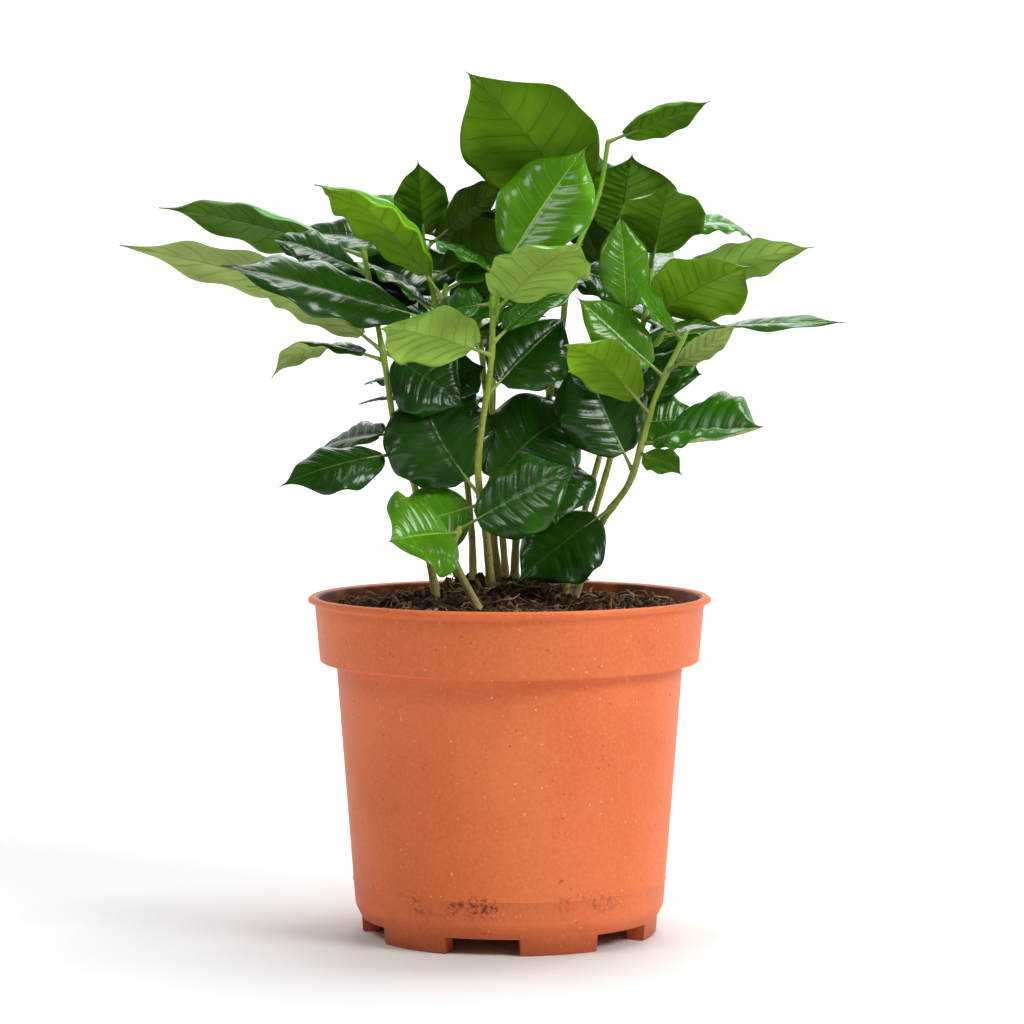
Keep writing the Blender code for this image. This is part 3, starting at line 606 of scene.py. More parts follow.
# Seedlings ---------------------------------------------------------------------------------
# Thirteen young coffee plants raised together. Each has one slender stem, tan and corky where
# it leaves the peat and yellow-green higher up, that swells a little at every pair of leaves.
STALK, STALK_R = 0.13, 0.75
BLADE_THICK, BLADE_STEPS, BLADE_FOOT, CLEAR = 0.7, 5, 0.03, 0.2
TURNS = ((0, 0), (6, 0), (-6, 0), (0, 6), (0, -6), (8, 8), (-8, 8), (8, -8), (-8, -8), (14, 0),
         (-14, 0), (0, 14), (0, -14), (18, 12), (-18, 12), (18, -12), (-18, -12), (28, 0), (-28, 0))


def leaf(at, heading, lift, long, wide, roll=0, arch=30, sweep=0, twist=0, fold=12, age=1):
    """One leaf: the height of its node, the heading of its tip seen from above (0 right, 90 to
    the back), the rise of its tip, its length and width, its turn about its own length, and how
    far it arches, bends sideways, twists and folds. Age runs from 0, just open, to 2, old."""
    return dict(at=at, heading=heading, lift=lift, long=long, wide=wide, roll=roll, arch=arch,
                sweep=sweep, twist=twist, fold=fold, age=age)


# Each seedling: its foot in the peat, the points its stem passes, its foot and tip radius, the
# height where its crown begins, and its leaves from the lowest up
SEEDLINGS = {
    "front": dict(
        foot=(-5.6, 2), route=((-7.2, -6, 122), (-9.3, -14, 141), (-5.3, -16, 173), (-5, -17, 193)),
        thick=(1.25, 0.75), crown=127.5,
        leaves=(
            leaf(186, -50, 26, 45, 30, roll=-12, arch=30, fold=8, age=0.5),
            leaf(173.8, -136, 10, 45, 24, roll=40, arch=25, fold=8, age=0.6),
            leaf(131.8, 152, 60, 41, 33, roll=-50, arch=-10, sweep=-30, fold=4, age=2),
            leaf(131, 22, 42, 45, 34, roll=46, arch=20, sweep=-40, fold=4, age=1.9),
            leaf(129.5, -175, -17, 27, 23, roll=-60, arch=10, fold=4, age=0.8),
            leaf(162, 30, 38, 37, 26, roll=45, arch=10, age=2),
            leaf(189, 150, -14, 24, 19, roll=-40, age=1.3),
        )),
    "low": dict(
        foot=(-9, -17), route=((-16.6, -20, 115.5), (-14.4, -19.5, 123.5)),
        thick=(1.25, 0.8), crown=117,
        leaves=(
            leaf(121.5, -138, -3, 27, 31, roll=-46, arch=20, fold=16, age=0.6),
            leaf(122.5, -10, 28, 40, 26, roll=60, arch=15, fold=4, age=1.4),
        )),
    "left": dict(
        foot=(-22, 1), route=((-28.6, 0, 134.5), (-33.4, -2, 147), (-37.3, -4, 171.5), (-44, 3, 206)),
        thick=(1.2, 0.7), crown=140,
        leaves=(
            leaf(174.8, -155, 24, 47, 17, roll=35, arch=60, fold=10, age=1),
            leaf(189.2, 170, 12.5, 80.5, 19, roll=40, arch=5, fold=10, age=0.6),
            leaf(203.3, 155, 12, 73, 23, roll=40, arch=15, fold=6, age=1),
            leaf(144.3, -152, -13, 41, 18.5, roll=-40, arch=30, fold=-5, age=2),
            leaf(150.3, 155, -20, 29, 20, roll=-25, arch=25, age=2),
            leaf(172, 165, -9, 36, 17, roll=-10, arch=90, twist=70, age=1.5),
            leaf(175, 5, -35, 30, 24, roll=62, arch=25, fold=4, age=2),
            leaf(197.5, 166, 8, 32, 15, roll=-45, age=1.9),
            leaf(205, -30, 35, 17, 7, arch=10, age=0),
        )),
    "left_mid": dict(
        foot=(-14.5, 10), route=((-19, 9, 115), (-23, 4, 160), (-19, 1, 195)),
        thick=(1.1, 0.7), crown=150,
        leaves=(
            leaf(183, -155, 13, 75, 24, roll=-45, arch=10, fold=8, age=2),
            leaf(190, -136, 33, 61, 24, roll=10, arch=48, fold=12, age=0.4),
            leaf(154, 0, 35, 17, 14, roll=45, age=2),
            leaf(164, -4, 8, 17, 17, roll=50, age=2),
        )),
    "left_tall": dict(
        foot=(-11, 9), route=((-11.6, 10, 121), (-16, 13, 160), (-25, 20, 200), (-27, 22, 213)),
        thick=(1.1, 0.65), crown=152,
        leaves=(
            leaf(208, 127, 23, 38, 15, roll=-20, age=1),
            leaf(206, -95, 57, 31, 16, roll=10, arch=-10, age=1.5),
            leaf(205.5, 28, 36, 35, 21, roll=-50, arch=15, age=1.9),
            leaf(196, 8, 28, 35, 24, roll=-45, arch=25, age=2),
            leaf(190, 2, 6, 30, 18, roll=-40, age=2),
            leaf(188, 176, 17, 38, 23, roll=-28, arch=15, age=1.9),
            leaf(158.5, 180, 0, 30, 13, age=1.8),
            leaf(204, 163, 7, 46, 22, roll=-28, age=1.9),
        )),
    "mid": dict(
        foot=(-3.5, 14), route=((-5, 12, 121), (-5, 4, 165), (-3, -9, 202)),
        thick=(1.25, 0.75), crown=148,
        leaves=(
            leaf(197, 25, 53, 49, 29, roll=45, arch=20, fold=8, age=0.4),
        )),
    "mid_tall": dict(
        foot=(1.4, 12), route=((2.5, 11, 121), (10, 9, 152), (15.6, 10, 179), (18.5, 19, 200),
                               (27.3, 28, 222), (30.3, 30, 239)),
        thick=(1.2, 0.7), crown=144,
        leaves=(
            leaf(215, -145, 43, 63, 42, roll=32, arch=12, sweep=-10, fold=6, age=0.8),
            leaf(238.6, -18, 20, 34.5, 13.5, roll=-45, arch=8, fold=14, age=1),
            leaf(147, -75, -52, 31, 29, roll=5, arch=20, fold=6, age=1.8),
            leaf(200, 8, -28, 26, 18, roll=50, arch=50, age=1.7),
        )),
    "right_mid": dict(
        foot=(16.5, 10), route=((24, 10, 131), (27, 9, 142), (34, 3, 172), (35.5, -2, 184)),
        thick=(1.15, 0.7), crown=150,
        leaves=(
            leaf(182, 180, 86, 34, 15, roll=-80, arch=15, age=0.4),
        )),
    "right_tall": dict(
        foot=(18.5, 13), route=((27.4, 12, 131), (30.3, 12, 141), (41, 14, 185), (44, 18, 212)),
        thick=(1.15, 0.7), crown=150,
        leaves=(
            leaf(184, -40, 22, 43, 28, roll=-35, arch=20, fold=8, age=0.7),
            leaf(195, 5, 12.5, 52, 20, roll=-35, arch=8, age=0.8),
            leaf(200, -80, 44, 36, 27, arch=10, age=1.2),
            leaf(208.5, 22, -2, 35, 17, roll=20, arch=80, age=1),
            leaf(158, -8, 36, 31, 18, roll=40, arch=15, age=1.5),
            leaf(152, 4, 12, 27, 20, roll=55, arch=15, age=1.3),
        )),
    "right_front": dict(
        foot=(19.5, 5), route=((27.8, 0, 123.4), (35.6, -4, 135), (39.4, -6, 147), (43, -7, 160),
                               (53, -3, 181)),
        thick=(1.2, 0.75), crown=122.5,
        leaves=(
            leaf(147.5, -29, 8, 40, 42, roll=21, arch=-20, fold=37, age=1.2),
            leaf(138.5, 160, 66, 41, 28, roll=-55, sweep=-15, arch=25, fold=4, age=2),
            leaf(156, -144, 33, 38, 19, roll=35, arch=70, fold=10, age=0.3),
            leaf(128, -163, -36, 37, 27, roll=-45, arch=15, fold=4, age=2),
            leaf(169, -42, 28, 30.5, 8, roll=-45, arch=-10, age=0.7),
            leaf(167, -167, 42, 36, 16, roll=-72, arch=10, age=0.4),
            leaf(178, -149, 46, 28, 9, roll=-60, arch=0, age=0.8),
            leaf(144.6, -50, -4, 20, 10, roll=35, arch=40, age=0.4),
        )),
    "right_back": dict(
        foot=(10, 24), route=((17, 24, 140), (30, 25, 162), (46, 26, 178), (51, 26, 192)),
        thick=(1.15, 0.7), crown=165,
        leaves=(
            leaf(179.3, -7, 4, 56, 12, arch=10, twist=60, age=1.2),
            leaf(169, -25, -4, 24, 21, roll=60, arch=20, age=1.8),
        )),
    "back_left": dict(
        foot=(-1, 22), route=((-2.6, 24, 122), (-8, 30, 168), (-11, 36, 208)),
        thick=(1.1, 0.65), crown=150,
        leaves=(
            leaf(197, -178, 4, 40, 22, roll=-50, age=1.8),
            leaf(205, -50, 20, 42, 22, roll=-10, age=1.8),
            leaf(204, 150, 34, 34, 20, roll=-20, age=1.8),
        )),
    "back_right": dict(
        foot=(9, 31), route=((20, 34, 140), (30, 38, 165), (34, 42, 208)),
        thick=(1.1, 0.65), crown=145,
        leaves=(
            leaf(204.6, -72, 61, 33, 34, arch=15, age=1.5),
            leaf(188, -145, 74, 39, 23, age=1.9),
            leaf(205, 110, 62, 35, 26, arch=15, age=1.6),
        )),
}

# The leaves of the rear half follow a rule: up each stem a leaf every REAR_STEP, by turns to the
# left and right of straight back, rising more and growing less dark with height
REAR_LOW, REAR_STEP = 141.0, 7.0
REAR_SIDEWAYS, REAR_LONG, REAR_WIDE = (12, 66), (34, 48), (0.42, 0.5)
REAR_FLAT_Z, REAR_RISE_OVER = 130, 90  # where they lie flattest, and the height that lifts them
# Front-view windows (x and z limits) that the rear leaves leave open
WINDOWS = ((12, 29, 170, 192), (-42, -32, 168, 188), (-36, -28, 148, 160), (20, 34, 128, 146))
# The crown's front outline, which the rear leaves keep to: its half width where it begins and how
# fast that grows, and its top, which is highest over TOP_X and falls off by TOP_FALL
CROWN_LOW, CROWN_X, CROWN_HALF, CROWN_FLARE = 139.0, 4.0, 38.0, 0.62
TOP_Z, TOP_RISE, TOP_X, TOP_WIDE, TOP_FALL = 211.0, 15.0, 22.0, 28.0, 0.0035
CROWN_BACK = 88.0
UPWARDS = np.array([0.0, 0.0, 1.0])


def unit(v):
    return v / max(np.linalg.norm(v), 1e-12)


def stem_at(seedling, z):
    """The stem's centre at a height, by a smooth curve through its points, and its radius."""
    fx, fy = seedling["foot"]
    pts = [(fx, fy, peat_height(fx, fy)), *seedling["route"]]
    hs = [p[2] for p in pts]
    k = min(max(sum(z > h for h in hs) - 1, 0), len(pts) - 2)

    def slope(i):
        lo, hi = max(i - 1, 0), min(i + 1, len(pts) - 1)
        return [(pts[hi][c] - pts[lo][c]) / (hs[hi] - hs[lo]) for c in (0, 1)]

    span = hs[k + 1] - hs[k]
    t = (z - hs[k]) / span
    h00, h10 = (1 + 2 * t) * (1 - t) ** 2, t * (1 - t) ** 2
    h01, h11 = t * t * (3 - 2 * t), t * t * (t - 1)
    x, y = (h00 * pts[k][c] + h10 * span * slope(k)[c] + h01 * pts[k + 1][c] + h11 * span * slope(k + 1)[c]
            for c in (0, 1))
    low, high = seedling["thick"]
    share = (z - hs[0]) / (hs[-1] - hs[0])
    return np.array([x, y, z]), low + (high - low) * share


def leaf_outline(b):
    """Half width of a blade, as a share of its greatest, from its foot (0) to its tip (1)."""
    s = math.sin(math.pi * min(max(b, 0.0), 1.0) ** 0.88)
    return max(s, 0.0) ** (0.72 + 1.1 * max(0.0, (b - 0.62) / 0.38) ** 1.2)


def spine(base, spec, u):
    """Centre of the leaf at share u of its length, with its side and its upper normal."""
    head, lift, roll = (math.radians(spec[key]) for key in ("heading", "lift", "roll"))
    rise, bend = (math.radians(spec[key]) / 8 for key in ("arch", "sweep"))
    c = np.array([math.cos(lift) * math.cos(head), math.cos(lift) * math.sin(head), math.sin(lift)])
    n0 = unit(UPWARDS - c[2] * c)
    s0 = np.cross(c, n0)
    n, s = n0 * math.cos(roll) + s0 * math.sin(roll), s0 * math.cos(roll) - n0 * math.sin(roll)

    def at(q):
        hump = 4 * q * (1 - q) * (1 + 0.5 * (q - 0.5))
        return base + spec["long"] * (q * c + hump * (rise * n + bend * s))

    t = unit(at(u + 0.01) - at(u - 0.01))
    w = math.radians(spec["twist"]) * (u - 0.3)
    m = unit(n - (n @ t) * t)
    side = np.cross(t, m)
    return at(u), side * math.cos(w) - m * math.sin(w), m * math.cos(w) + side * math.sin(w)


def blade_point(base, spec, b, v):
    """A point of the blade at share b from its foot and v from the midrib, -1 to 1."""
    p, s, n = spine(base, spec, STALK + (1 - STALK) * b)
    half = 0.5 * spec["wide"] * leaf_outline(b)
    fold = math.tan(math.radians(spec["fold"]))
    return p + s * (v * half) + n * (half * fold * (abs(v) - 0.3 * v * v)), n


def blade_mesh(base, spec, thick):
    """Closed thin blade: three points across above and three below, at each step along it."""
    verts, faces = [], []
    shares = [0.0] + [0.1 + 0.88 * i / (BLADE_STEPS - 1) for i in range(BLADE_STEPS)]
    for b in shares:
        for lift in (0.5, -0.5):
            for v in (-1, 0, 1):
                p, n = blade_point(base, spec, max(b, BLADE_FOOT), v)
                verts.append(p + n * (lift * thick))
    ring = (0, 1, 2, 5, 4, 3)
    for i in range(len(shares) - 1):
        for a, b in zip(ring, ring[1:] + ring[:1]):
            faces.append((i * 6 + a, i * 6 + b, i * 6 + 6 + b, i * 6 + 6 + a))
    e = len(verts) - 6
    faces += [(0, 3, 4, 1), (1, 4, 5, 2), (e, e + 1, e + 4, e + 3), (e + 1, e + 2, e + 5, e + 4)]
    return verts, faces


def tube_mesh(rings):
    """Closed tube through rings of points, with flat ends."""
    n = len(rings[0])
    verts = [p for ring in rings for p in ring]
    ends = [tuple(range(n))[::-1], tuple(range(len(verts) - n, len(verts)))]
    return verts, ends + rings_joined(len(rings), n)


def round_ring(centre, along, radius, sides):
    a = unit(np.cross(along, [0.31, 0.95, 0.1]))
    b = np.cross(along, a)
    return [centre + radius * (math.cos(q) * a + math.sin(q) * b)
            for q in (2 * math.pi * i / sides for i in range(sides))]


def stalk_mesh(seedling, spec):
    """The leaf's stalk, from inside the stem to just under its midrib."""
    base, _ = stem_at(seedling, spec["at"])
    rings = []
    for u in (0.0, STALK + 0.02, STALK + 0.13):
        p, _, n = spine(base, spec, u)
        q, _, _ = spine(base, spec, u + 0.02)
        size = STALK_R * (1.0 if u < STALK else 0.75)
        rings.append(round_ring(p - n * 0.1, unit(q - p), size, 3))
    return tube_mesh(rings)


def rear_leaves(seedling, order):
    """Leaves of a seedling's rear side, by the rule above, from the lowest up."""
    rng = random.Random(order)
    found, k = [], order % 2
    z = max(REAR_LOW, seedling["crown"] + 4) + rng.uniform(0, 8)
    while z < seedling["route"][-1][2] - 1:
        side = rng.uniform(*REAR_SIDEWAYS) * (1 if k % 2 else -1)
        high = (z - REAR_FLAT_Z) / REAR_RISE_OVER
        long = rng.uniform(*REAR_LONG) * (1 - 0.15 * high)
        lift = -6 + 42 * high + rng.uniform(-6, 6)
        found.append(leaf(z, 90 + side, lift, long, long * rng.uniform(*REAR_WIDE),
                          roll=rng.uniform(-18, 18), arch=rng.uniform(20, 50), age=2.2 - 1.6 * high))
        z += REAR_STEP * rng.uniform(0.8, 1.2)
        k += 1
    return found


def within_crown(base, spec):
    """Whether a rear leaf keeps to the crown's outline and leaves its windows open."""
    for b in (0.15, 0.4, 0.7, 1.0):
        for v in (-1, 0, 1):
            (x, y, z), _ = blade_point(base, spec, b, v)
            if any(x0 < x < x1 and z0 < z < z1 for x0, x1, z0, z1 in WINDOWS):
                return False
            top = TOP_Z + TOP_RISE * math.exp(-(((x - TOP_X) / TOP_WIDE) ** 2)) - TOP_FALL * x * x
            half = CROWN_HALF + CROWN_FLARE * (z - CROWN_LOW)
            if z > top or z < CROWN_LOW or abs(x - CROWN_X) > half or y > CROWN_BACK:
                return False
    return True


def tree_of(verts, faces):
    return BVHTree.FromPolygons([tuple(v) for v in verts], faces)


TEST_RINGS, TEST_SIDES = 10, 6


def stem_trees():
    """Each seedling's stem, a little stouter than it is, to test leaves against."""
    trees = []
    for name, seedling in SEEDLINGS.items():
        foot, top = peat_height(*seedling["foot"]), seedling["route"][-1][2]
        rings = []
        for i in range(TEST_RINGS):
            p, r = stem_at(seedling, foot + (top - foot) * i / (TEST_RINGS - 1))
            rings.append(round_ring(p, UPWARDS, r + CLEAR, TEST_SIDES))
        trees.append((name, tree_of(*tube_mesh(rings))))
    return trees


def settled(name, asked, behind, stems, placed):
    """The leaf asked for, turned by the least turn that finds it room, and its blade and stalk."""
    seedling = SEEDLINGS[name]
    for turn, rise in TURNS:
        spec = dict(asked, heading=asked["heading"] + turn, lift=asked["lift"] + rise)
        base, _ = stem_at(seedling, spec["at"])
        if behind and not within_crown(base, spec):
            continue
        body = tree_of(*blade_mesh(base, spec, BLADE_THICK + 2 * CLEAR))
        stalk = tree_of(*stalk_mesh(seedling, spec))
        if any(body.overlap(stem) or (other != name and stalk.overlap(stem)) for other, stem in stems):
            continue
        if not any(body.overlap(blade) or (other != name and (stalk.overlap(blade) or body.overlap(foot)))
                   for other, blade, foot in placed):
            return spec, body, stalk
    return None


def settled_leaves():
    """Each seedling's leaves, each turned by the least turn that keeps it clear of the stems and of
    every leaf placed before it. One that finds no room is left out."""
    stems = stem_trees()
    placed, kept = [], {name: [] for name in SEEDLINGS}
    fore = [(name, s["leaves"], False) for name, s in SEEDLINGS.items()]
    rear = [(name, rear_leaves(s, i), True) for i, (name, s) in enumerate(SEEDLINGS.items())]
    for group in (fore, rear):
        for k in range(max(len(asked) for _, asked, _ in group)):
            for name, asked, behind in group:
                found = settled(name, asked[k], behind, stems, placed) if k < len(asked) else None
                if found:
                    kept[name].append(found[0])
                    placed.append((name, *found[1:]))
    return kept


GROWN = settled_leaves()


def tube_tree():
    """A round tube along a line of points that carry its radius."""
    g = Grower("tube")
    base, sides, material = g.inputs(Sides="Int", Material="Material")
    line = g.node("GeometryNodeMeshToCurve", None, {0: base})
    radius = g.node("GeometryNodeInputNamedAttribute", {"data_type": "FLOAT"}, {"Name": "thick"})
    line = g.node("GeometryNodeSetCurveRadius", None, {"Curve": line, "Radius": radius})
    ring = g.node("GeometryNodeCurvePrimitiveCircle", None, {"Resolution": sides, "Radius": 1.0})
    sockets = {"Curve": line, "Profile Curve": ring, "Scale": radius, "Fill Caps": True}
    return g.end(g.node("GeometryNodeCurveToMesh", None, sockets), material)


def line_mesh(lines):
    """Polylines of (x, y, z, radius) in millimetres from the pot's axis, as one wire mesh."""
    mesh = bpy.data.meshes.new("lines")
    verts, edges, thick = [], [], []
    for line in lines:
        first = len(verts)
        verts += in_frame([point[:3] for point in line])
        thick += [point[3] * MM for point in line]
        edges += [(first + k, first + k + 1) for k in range(len(line) - 1)]
    mesh.from_pydata(verts, edges, [])
    mesh.attributes.new("thick", "FLOAT", "POINT").data.foreach_set("value", thick)
    return mesh


STEM_STEP, STEM_SIDES, STEM_SUNK = 1.5, 14, 3.0  # height from ring to ring, and depth in the peat
JOINT_HIGH, JOINT_SWELL = 1.6, 0.22  # the swelling at each leaf's node
FOOT_HIGH, FOOT_SWELL = 4.0, 0.35  # the flare where the stem leaves the peat
BARK_OLIVE, BARK_YELLOW, BARK_YOUNG = (0.26, 0.31, 0.030), (0.46, 0.50, 0.080), (0.20, 0.40, 0.020)
CORK_TAN, CORK_DARK = (0.42, 0.32, 0.130), (0.12, 0.075, 0.030)

bark = Finish("stem_bark", Metallic=0.0, IOR=1.45)
rise = bark.axis(bark.place(), "Z") / MM
fleck = bark.noise(260.0, 3.0, 0.6, Scale=(1.0, 1.0, 0.3))
cork = 1 - (rise + (fleck * 26 - 13)).ramp(104.0, 132.0)
young = (rise + fleck * 20).ramp(150.0, 205.0)
bark.set(Base_Color=bark.layered(
    BARK_OLIVE, (fleck.ramp(0.3, 0.7), BARK_YELLOW), (young, BARK_YOUNG), (cork * 0.75, CORK_TAN),
    (bark.noise(500.0, 2.0).ramp(0.60, 0.68) * 0.5, CORK_DARK)))
bark.set(Roughness=0.42 + cork * 0.35)
bark.bump(fleck + bark.noise(700.0, 2.0) * 0.6, 0.0003, 0.7)

tube = tube_tree()
for name, seedling in SEEDLINGS.items():
    foot, top = peat_height(*seedling["foot"]), seedling["route"][-1][2]
    low = foot - STEM_SUNK
    count = int((top - low) / STEM_STEP)
    line = []
    for k in range(count + 1):
        z = low + (top - low) * k / count
        p, r = stem_at(seedling, max(z, foot))
        joint = sum(math.exp(-(((z - spec["at"]) / JOINT_HIGH) ** 2)) for spec in GROWN[name])
        r *= 1 + JOINT_SWELL * min(joint, 1.2) + FOOT_SWELL * math.exp(-max(z - foot, 0) / FOOT_HIGH)
        r *= 1 + 0.04 * math.sin(z * 0.9 + p[0])
        line.append((p[0], p[1], z, r * (0.75 if k == count else 1.0)))
    stem = tube.grow("stem_" + name + "_bark", line_mesh([line]), Sides=STEM_SIDES, Material=bark.material)
    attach(stem, "root")
    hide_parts("stem_" + name)


# Leaf stalks -------------------------------------------------------------------------------
# Short green stalks, one to each leaf, widening where they leave the stem.
# Each runs on under the blade as the root of its midrib.
STALK_STEPS, STALK_SIDES, STALK_UNDER = 8, 10, 0.16  # it ends that share further, under the blade
STALK_DULL, STALK_FRESH = (0.17, 0.27, 0.040), (0.36, 0.44, 0.10)

stalk_green = Finish("stalk_green", Metallic=0.0, IOR=1.45)
tone = stalk_green.noise(160.0, 2.0)
stalk_green.set(Base_Color=stalk_green.layered(STALK_DULL, (tone.ramp(0.3, 0.7), STALK_FRESH)),
                Roughness=0.38 + tone * 0.1)
stalk_green.bump(stalk_green.noise(600.0, 2.0), 0.0001, 0.5)

for name, seedling in SEEDLINGS.items():
    lines = []
    for spec in GROWN[name]:
        base, _ = stem_at(seedling, spec["at"])
        line = []
        for k in range(STALK_STEPS + 1):
            p, _, n = spine(base, spec, (STALK + STALK_UNDER) * k / STALK_STEPS)
            r = STALK_R * (1.15 - 0.2 * k if k < 2 else 0.85 - 0.045 * k)
            line.append((*(p - n * (0.15 + 0.25 * k / STALK_STEPS)), r))
        lines.append(line)
    stalks = tube.grow("stalks_" + name, line_mesh(lines), Sides=STALK_SIDES, Material=stalk_green.material)
    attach(stalks, "root")


# Leaves ------------------------------------------------------------------------------------
# Thin leathery blades with a pale midrib and about eight pairs of side veins that curve towards
# the tip. The blade is quilted between them, with painted shade in the hollows along the veins, and
# its margins are wavy; the upper face is glossy and the lower one matt and paler, partly by painted
# light shining through the leaf, and old leaves are darker than young ones.
ALONG, ACROSS = 56, 22
MARGIN = ACROSS // 2
REACH = [(k / MARGIN) ** 0.9 for k in range(MARGIN + 1)]  # from the midrib to the margin, 0 to 1
LEAF_THICK = 0.34
FULLER = 1.07  # gives back the width that folding and rolling under take off
VEIN_PAIRS, VEIN_REACH, VEIN_BEND, VEIN_FIRST = 8.0, 0.19, 1.25, 0.15
CURL_FROM, CURL_TURN = 0.55, 2.2  # where on the half blade its margin begins to roll, and how far
NARROWEST = 0.12  # the fine blade's least half width
QUILT_DEEP, QUILT_LEVEL = 0.056, 0.55  # for a blade 1 mm wide, and the part of it that lies below
WAVES, RIPPLE, RIPPLE_WIDE = (2.4, 4.6), (0.7, 1.5), 26  # of the margin, on a blade that wide
GROOVE_WIDE, GROOVE_DEEP, RIB_PROUD = 0.07, 0.30, 0.55  # the midrib, sunk above and proud below

# By seedling and node height: how pale a leaf is below, where it isn't the usual 0, and how far
# its two margins roll under, where they roll more than the usual CURL
CURL = (0.3, 0.3)
PALE = {("left", 189.2): 1.0, ("left", 174.8): 1.0, ("left", 172): 1.0, ("front", 173.8): 0.5,
        ("front", 186): 0.5, ("right_front", 169): 1.0, ("right_front", 147.5): 1.0,
        ("right_tall", 195): 0.5, ("right_back", 179.3): 0.5}
ROLLED = {("left", 203.3): (0.6, 0.2), ("left_mid", 190): (0.8, 0.3), ("mid_tall", 238.6): (0.2, 1.1),
          ("left", 174.8): (0.9, 0.4), ("right_tall", 195): (0.7, 0.3)}

# Colours of the upper face, the lower face and the upper veins, for each half step of age; the
# lower face's colours are its own paler green lifted by painted light shining through the leaf
AGE_STOP = 0.5
LEAF_TONES = (((0.15, 0.44, 0.003), (0.29, 0.54, 0.020), (0.42, 0.66, 0.08)),
              ((0.088, 0.29, 0.002), (0.25, 0.48, 0.015), (0.32, 0.57, 0.06)),
              ((0.038, 0.20, 0.002), (0.115, 0.26, 0.006), (0.17, 0.37, 0.03)),
              ((0.019, 0.105, 0.002), (0.080, 0.18, 0.005), (0.08, 0.23, 0.015)),
              ((0.012, 0.062, 0.002), (0.060, 0.13, 0.006), (0.045, 0.14, 0.012)))
CHALK, RIB_GREEN = (0.40, 0.54, 0.14), (0.20, 0.34, 0.03)


def mixed(first, second, share):
    return tuple(a + (b - a) * share for a, b in zip(first, second))


def tinted(colour, by):
    return tuple(c * by for c in colour)


def leaf_finish(age, pale, upper):
    """The finish of one face of a leaf of an age, patterned along the blade's own map."""
    k = min(int(age / AGE_STOP), len(LEAF_TONES) - 2)
    older = min(max(age / AGE_STOP - k, 0.0), 1.0)
    # The lower face's colour holds painted light shining through the leaf as well as its own paler green
    top, under, vein = (mixed(a, b, older) for a, b in zip(LEAF_TONES[k], LEAF_TONES[k + 1]))
    under = mixed(under, CHALK, pale)
    side = "upper" if upper else "lower"
    leafy = Finish(f"leaf_{side}_{int(age * 100):03d}_{int(pale * 10):02d}", Metallic=0.0, IOR=1.48)
    chart = leafy.node("ShaderNodeUVMap", {"uv_map": "blade"})
    across = abs(leafy.axis(chart, "X") * 2 - 1)
    along = leafy.axis(chart, "Y")
    phase = (along - across ** VEIN_BEND * VEIN_REACH) * VEIN_PAIRS + VEIN_FIRST
    off_vein = abs(phase.fraction() - 0.5) * 2
    fade = 1 - across.ramp(0.65, 1.0)
    side_vein = off_vein.ramp(0.88, 1.0) * fade
    # The hollows along the side veins: sunk in the bump, and darkened on both faces by painted shade
    shaded_hollow = off_vein.ramp(0.3, 1.0) * fade
    midrib = 1 - (across + along * 0.012).ramp(0.012, 0.034)
    net = leafy.noise(330.0, 3.0, 0.7)
    fine = leafy.noise(1300.0, 2.0, 0.6)
    cloud = leafy.noise(45.0, 2.0)
    clouded = cloud.ramp(0.32, 0.7)
    if upper:
        leafy.set(Specular_IOR_Level=0.45, Roughness=0.16 + net * 0.07 + cloud * 0.08)
        # Painted shade darkens the upper face in the hollows along the side veins
        leafy.set(Base_Color=leafy.layered(
            tinted(top, 0.68), (clouded, tinted(top, 1.25)), (shaded_hollow * 0.35, tinted(top, 0.55)),
            (side_vein * 0.2, vein), (midrib * 0.8, vein), (net.ramp(0.55, 0.75) * 0.15, vein)))
        leafy.bump(net * 0.3 + fine * 0.1 - side_vein * 0.3 - shaded_hollow * 0.5 - midrib * 0.5, 0.00024, 0.5)
    else:
        bright = tuple(min(c * 1.5 + 0.02, 1) for c in under)
        leafy.set(Specular_IOR_Level=0.15, Roughness=0.50 + net * 0.15)
        # Painted shade darkens the lower face a little in the hollows along the side veins
        leafy.set(Base_Color=leafy.layered(
            tinted(under, 0.72), (clouded, tinted(under, 1.2)), (shaded_hollow * 0.35, tinted(under, 0.86)),
            (side_vein * 0.3, bright), (midrib * 0.6, mixed(under, RIB_GREEN, 0.45))))
        leafy.bump(net * 0.5 + fine * 0.2 + side_vein + shaded_hollow * 0.6 + midrib, 0.0005, 0.8)
    return leafy.material


AGE_STEP, OLDEST = 0.25, 2.0
FINISHES = {}


def finishes_of(age, pale):
    """The upper and the lower finish of a leaf; leaves of one age and paleness share them."""
    step = min(round(age / AGE_STEP) * AGE_STEP, OLDEST)
    keys = (step, 0.0, True), (step, pale, False)
    for key in keys:
        if key not in FINISHES:
            FINISHES[key] = leaf_finish(*key)
    return [FINISHES[key] for key in keys]


def half_section(half, fold, curl):
    """Points (x, y) across half a blade from its midrib out: it rises by its fold, then curls."""
    x, y = 0.0, 0.0
    points = [(x, y)]
    for last, t in zip(REACH, REACH[1:]):
        angle = fold * (1.25 - 0.9 * t) - curl * CURL_TURN * max(t - CURL_FROM, 0) / (1 - CURL_FROM)
        x += (t - last) * half * math.cos(angle)
        y += (t - last) * half * math.sin(angle)
        points.append((x, y))
    return points


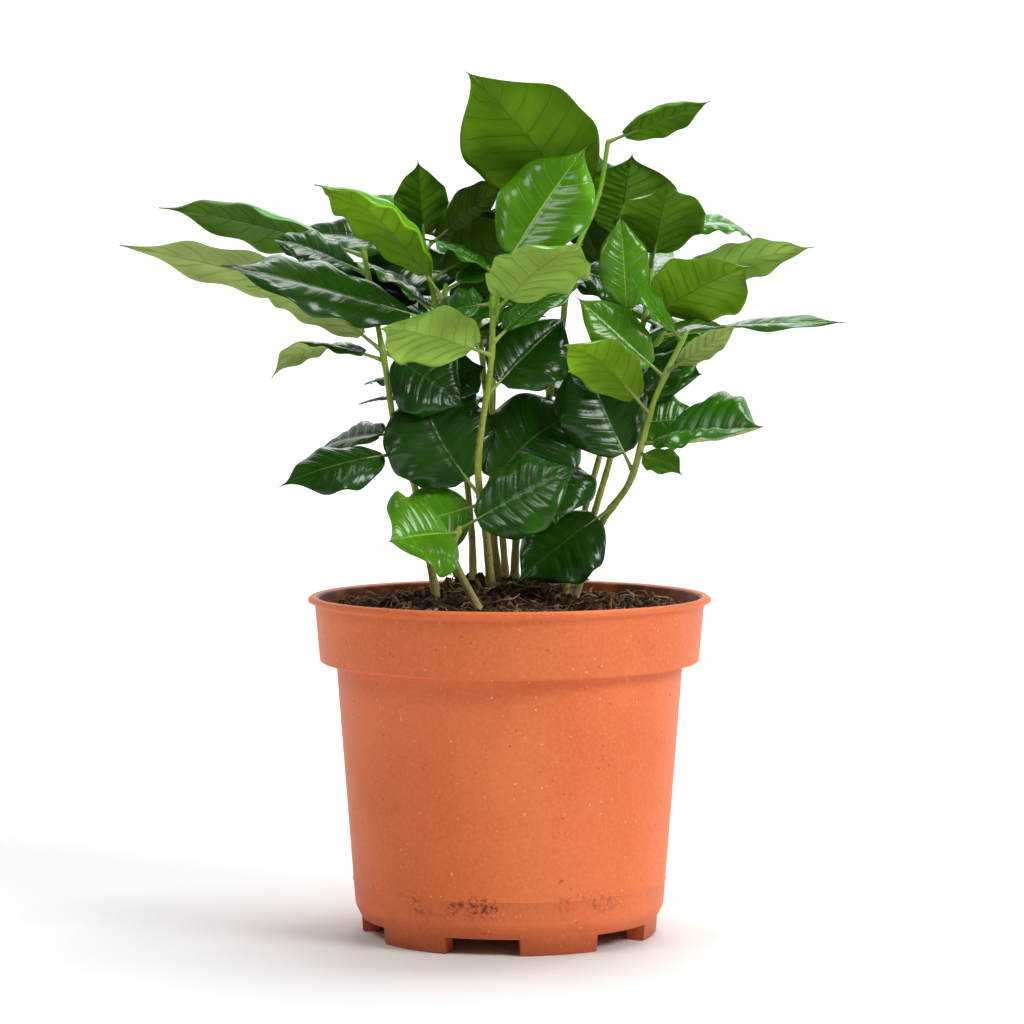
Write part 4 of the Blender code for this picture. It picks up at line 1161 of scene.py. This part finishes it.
def fine_blade(base, spec, curl, chance):
    """Points of a blade's two faces and its map, row by row from its foot to its tip."""
    waves, ripple = chance.uniform(*WAVES), chance.uniform(*RIPPLE) * (spec["wide"] / RIPPLE_WIDE) ** 0.5
    starts = [chance.uniform(0, FULL_TURN), chance.uniform(0, FULL_TURN)]
    quilt = QUILT_DEEP * spec["wide"] ** 0.75
    upper, lower, chart = [], [], []
    for i in range(ALONG + 1):
        b = i / ALONG
        b_in = BLADE_FOOT + (1 - BLADE_FOOT) * b
        p, s, n = spine(base, spec, STALK + (1 - STALK) * b_in)
        half = max(0.5 * FULLER * spec["wide"] * leaf_outline(b_in), NARROWEST)
        thick = LEAF_THICK * (1 - 0.55 * b)
        left, right = (half_section(half, math.radians(spec["fold"]), c) for c in curl)
        row = [(-t, -x, y) for t, (x, y) in zip(REACH, left)][:0:-1]
        row += [(t, x, y) for t, (x, y) in zip(REACH, right)]
        for t, x, y in row:
            a = abs(t)
            phase = ((b_in - VEIN_REACH * a ** VEIN_BEND) * VEIN_PAIRS + VEIN_FIRST) % 1.0
            pillow = math.sin(math.pi * ((phase + 0.5) % 1.0)) ** 0.7
            room = math.sin(math.pi * min(a, 1.0) ** 0.8) * math.sin(math.pi * min(b_in, 1.0)) ** 0.5
            wave = math.sin(FULL_TURN * waves * b_in + starts[t > 0]) * math.sin(math.pi * b_in) ** 0.6
            lift = quilt * (pillow - QUILT_LEVEL) * room + ripple * a ** 3 * wave
            groove = math.exp(-((a / GROOVE_WIDE) ** 2)) * (1 - 0.7 * b)
            rim = thick * (1 - 0.75 * a ** 4)
            spot = p + s * x + n * (y + lift)
            upper.append(spot + n * (rim / 2 - GROOVE_DEEP * groove))
            lower.append(spot - n * (rim / 2 + RIB_PROUD * groove))
            chart.append((0.5 + 0.5 * t, b_in))
    return upper, lower, chart


def blade_piece(label, seedling, leaves, first):
    """All the blades of a seedling as one mesh, with the two faces' finishes by age."""
    verts, faces, kinds, charts, materials = [], [], [], [], []
    n = ACROSS + 1
    for k, spec in enumerate(leaves):
        base, _ = stem_at(seedling, spec["at"])
        key = (label, spec["at"])
        upper, lower, chart = fine_blade(base, spec, ROLLED.get(key, CURL), random.Random(first + k))
        pair = finishes_of(spec["age"], PALE.get(key, 0.0))
        materials += [material for material in pair if material not in materials]
        above, below = (materials.index(material) for material in pair)
        start, size = len(verts), len(upper)
        verts += upper + lower

        def add(corners, kind):
            faces.append([start + c for c in corners])
            kinds.append(kind)
            charts.extend(chart[c % size] for c in corners)

        for i in range(ALONG):
            for j in range(ACROSS):
                a, b = i * n + j, i * n + j + 1
                add((a, b, b + n, a + n), above)
                add((size + a, size + a + n, size + b + n, size + b), below)
            a, b = i * n, i * n + ACROSS
            add((a, a + n, size + a + n, size + a), above)
            add((b, size + b, size + b + n, b + n), above)
        for j in range(ACROSS):
            add((j, size + j, size + j + 1, j + 1), below)
            a = ALONG * n + j
            add((a, a + 1, size + a + 1, size + a), below)
    piece = mesh_object("leaves_" + label, in_frame(verts), faces, materials)
    piece.data.polygons.foreach_set("material_index", kinds)
    piece.data.uv_layers.new(name="blade").data.foreach_set("uv", [c for uv in charts for c in uv])
    return piece


grown = 0
for name, seedling in SEEDLINGS.items():
    blades = blade_piece(name, seedling, GROWN[name], grown)
    grown += len(GROWN[name])
    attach(blades, "root")
    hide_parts("crown_" + name)
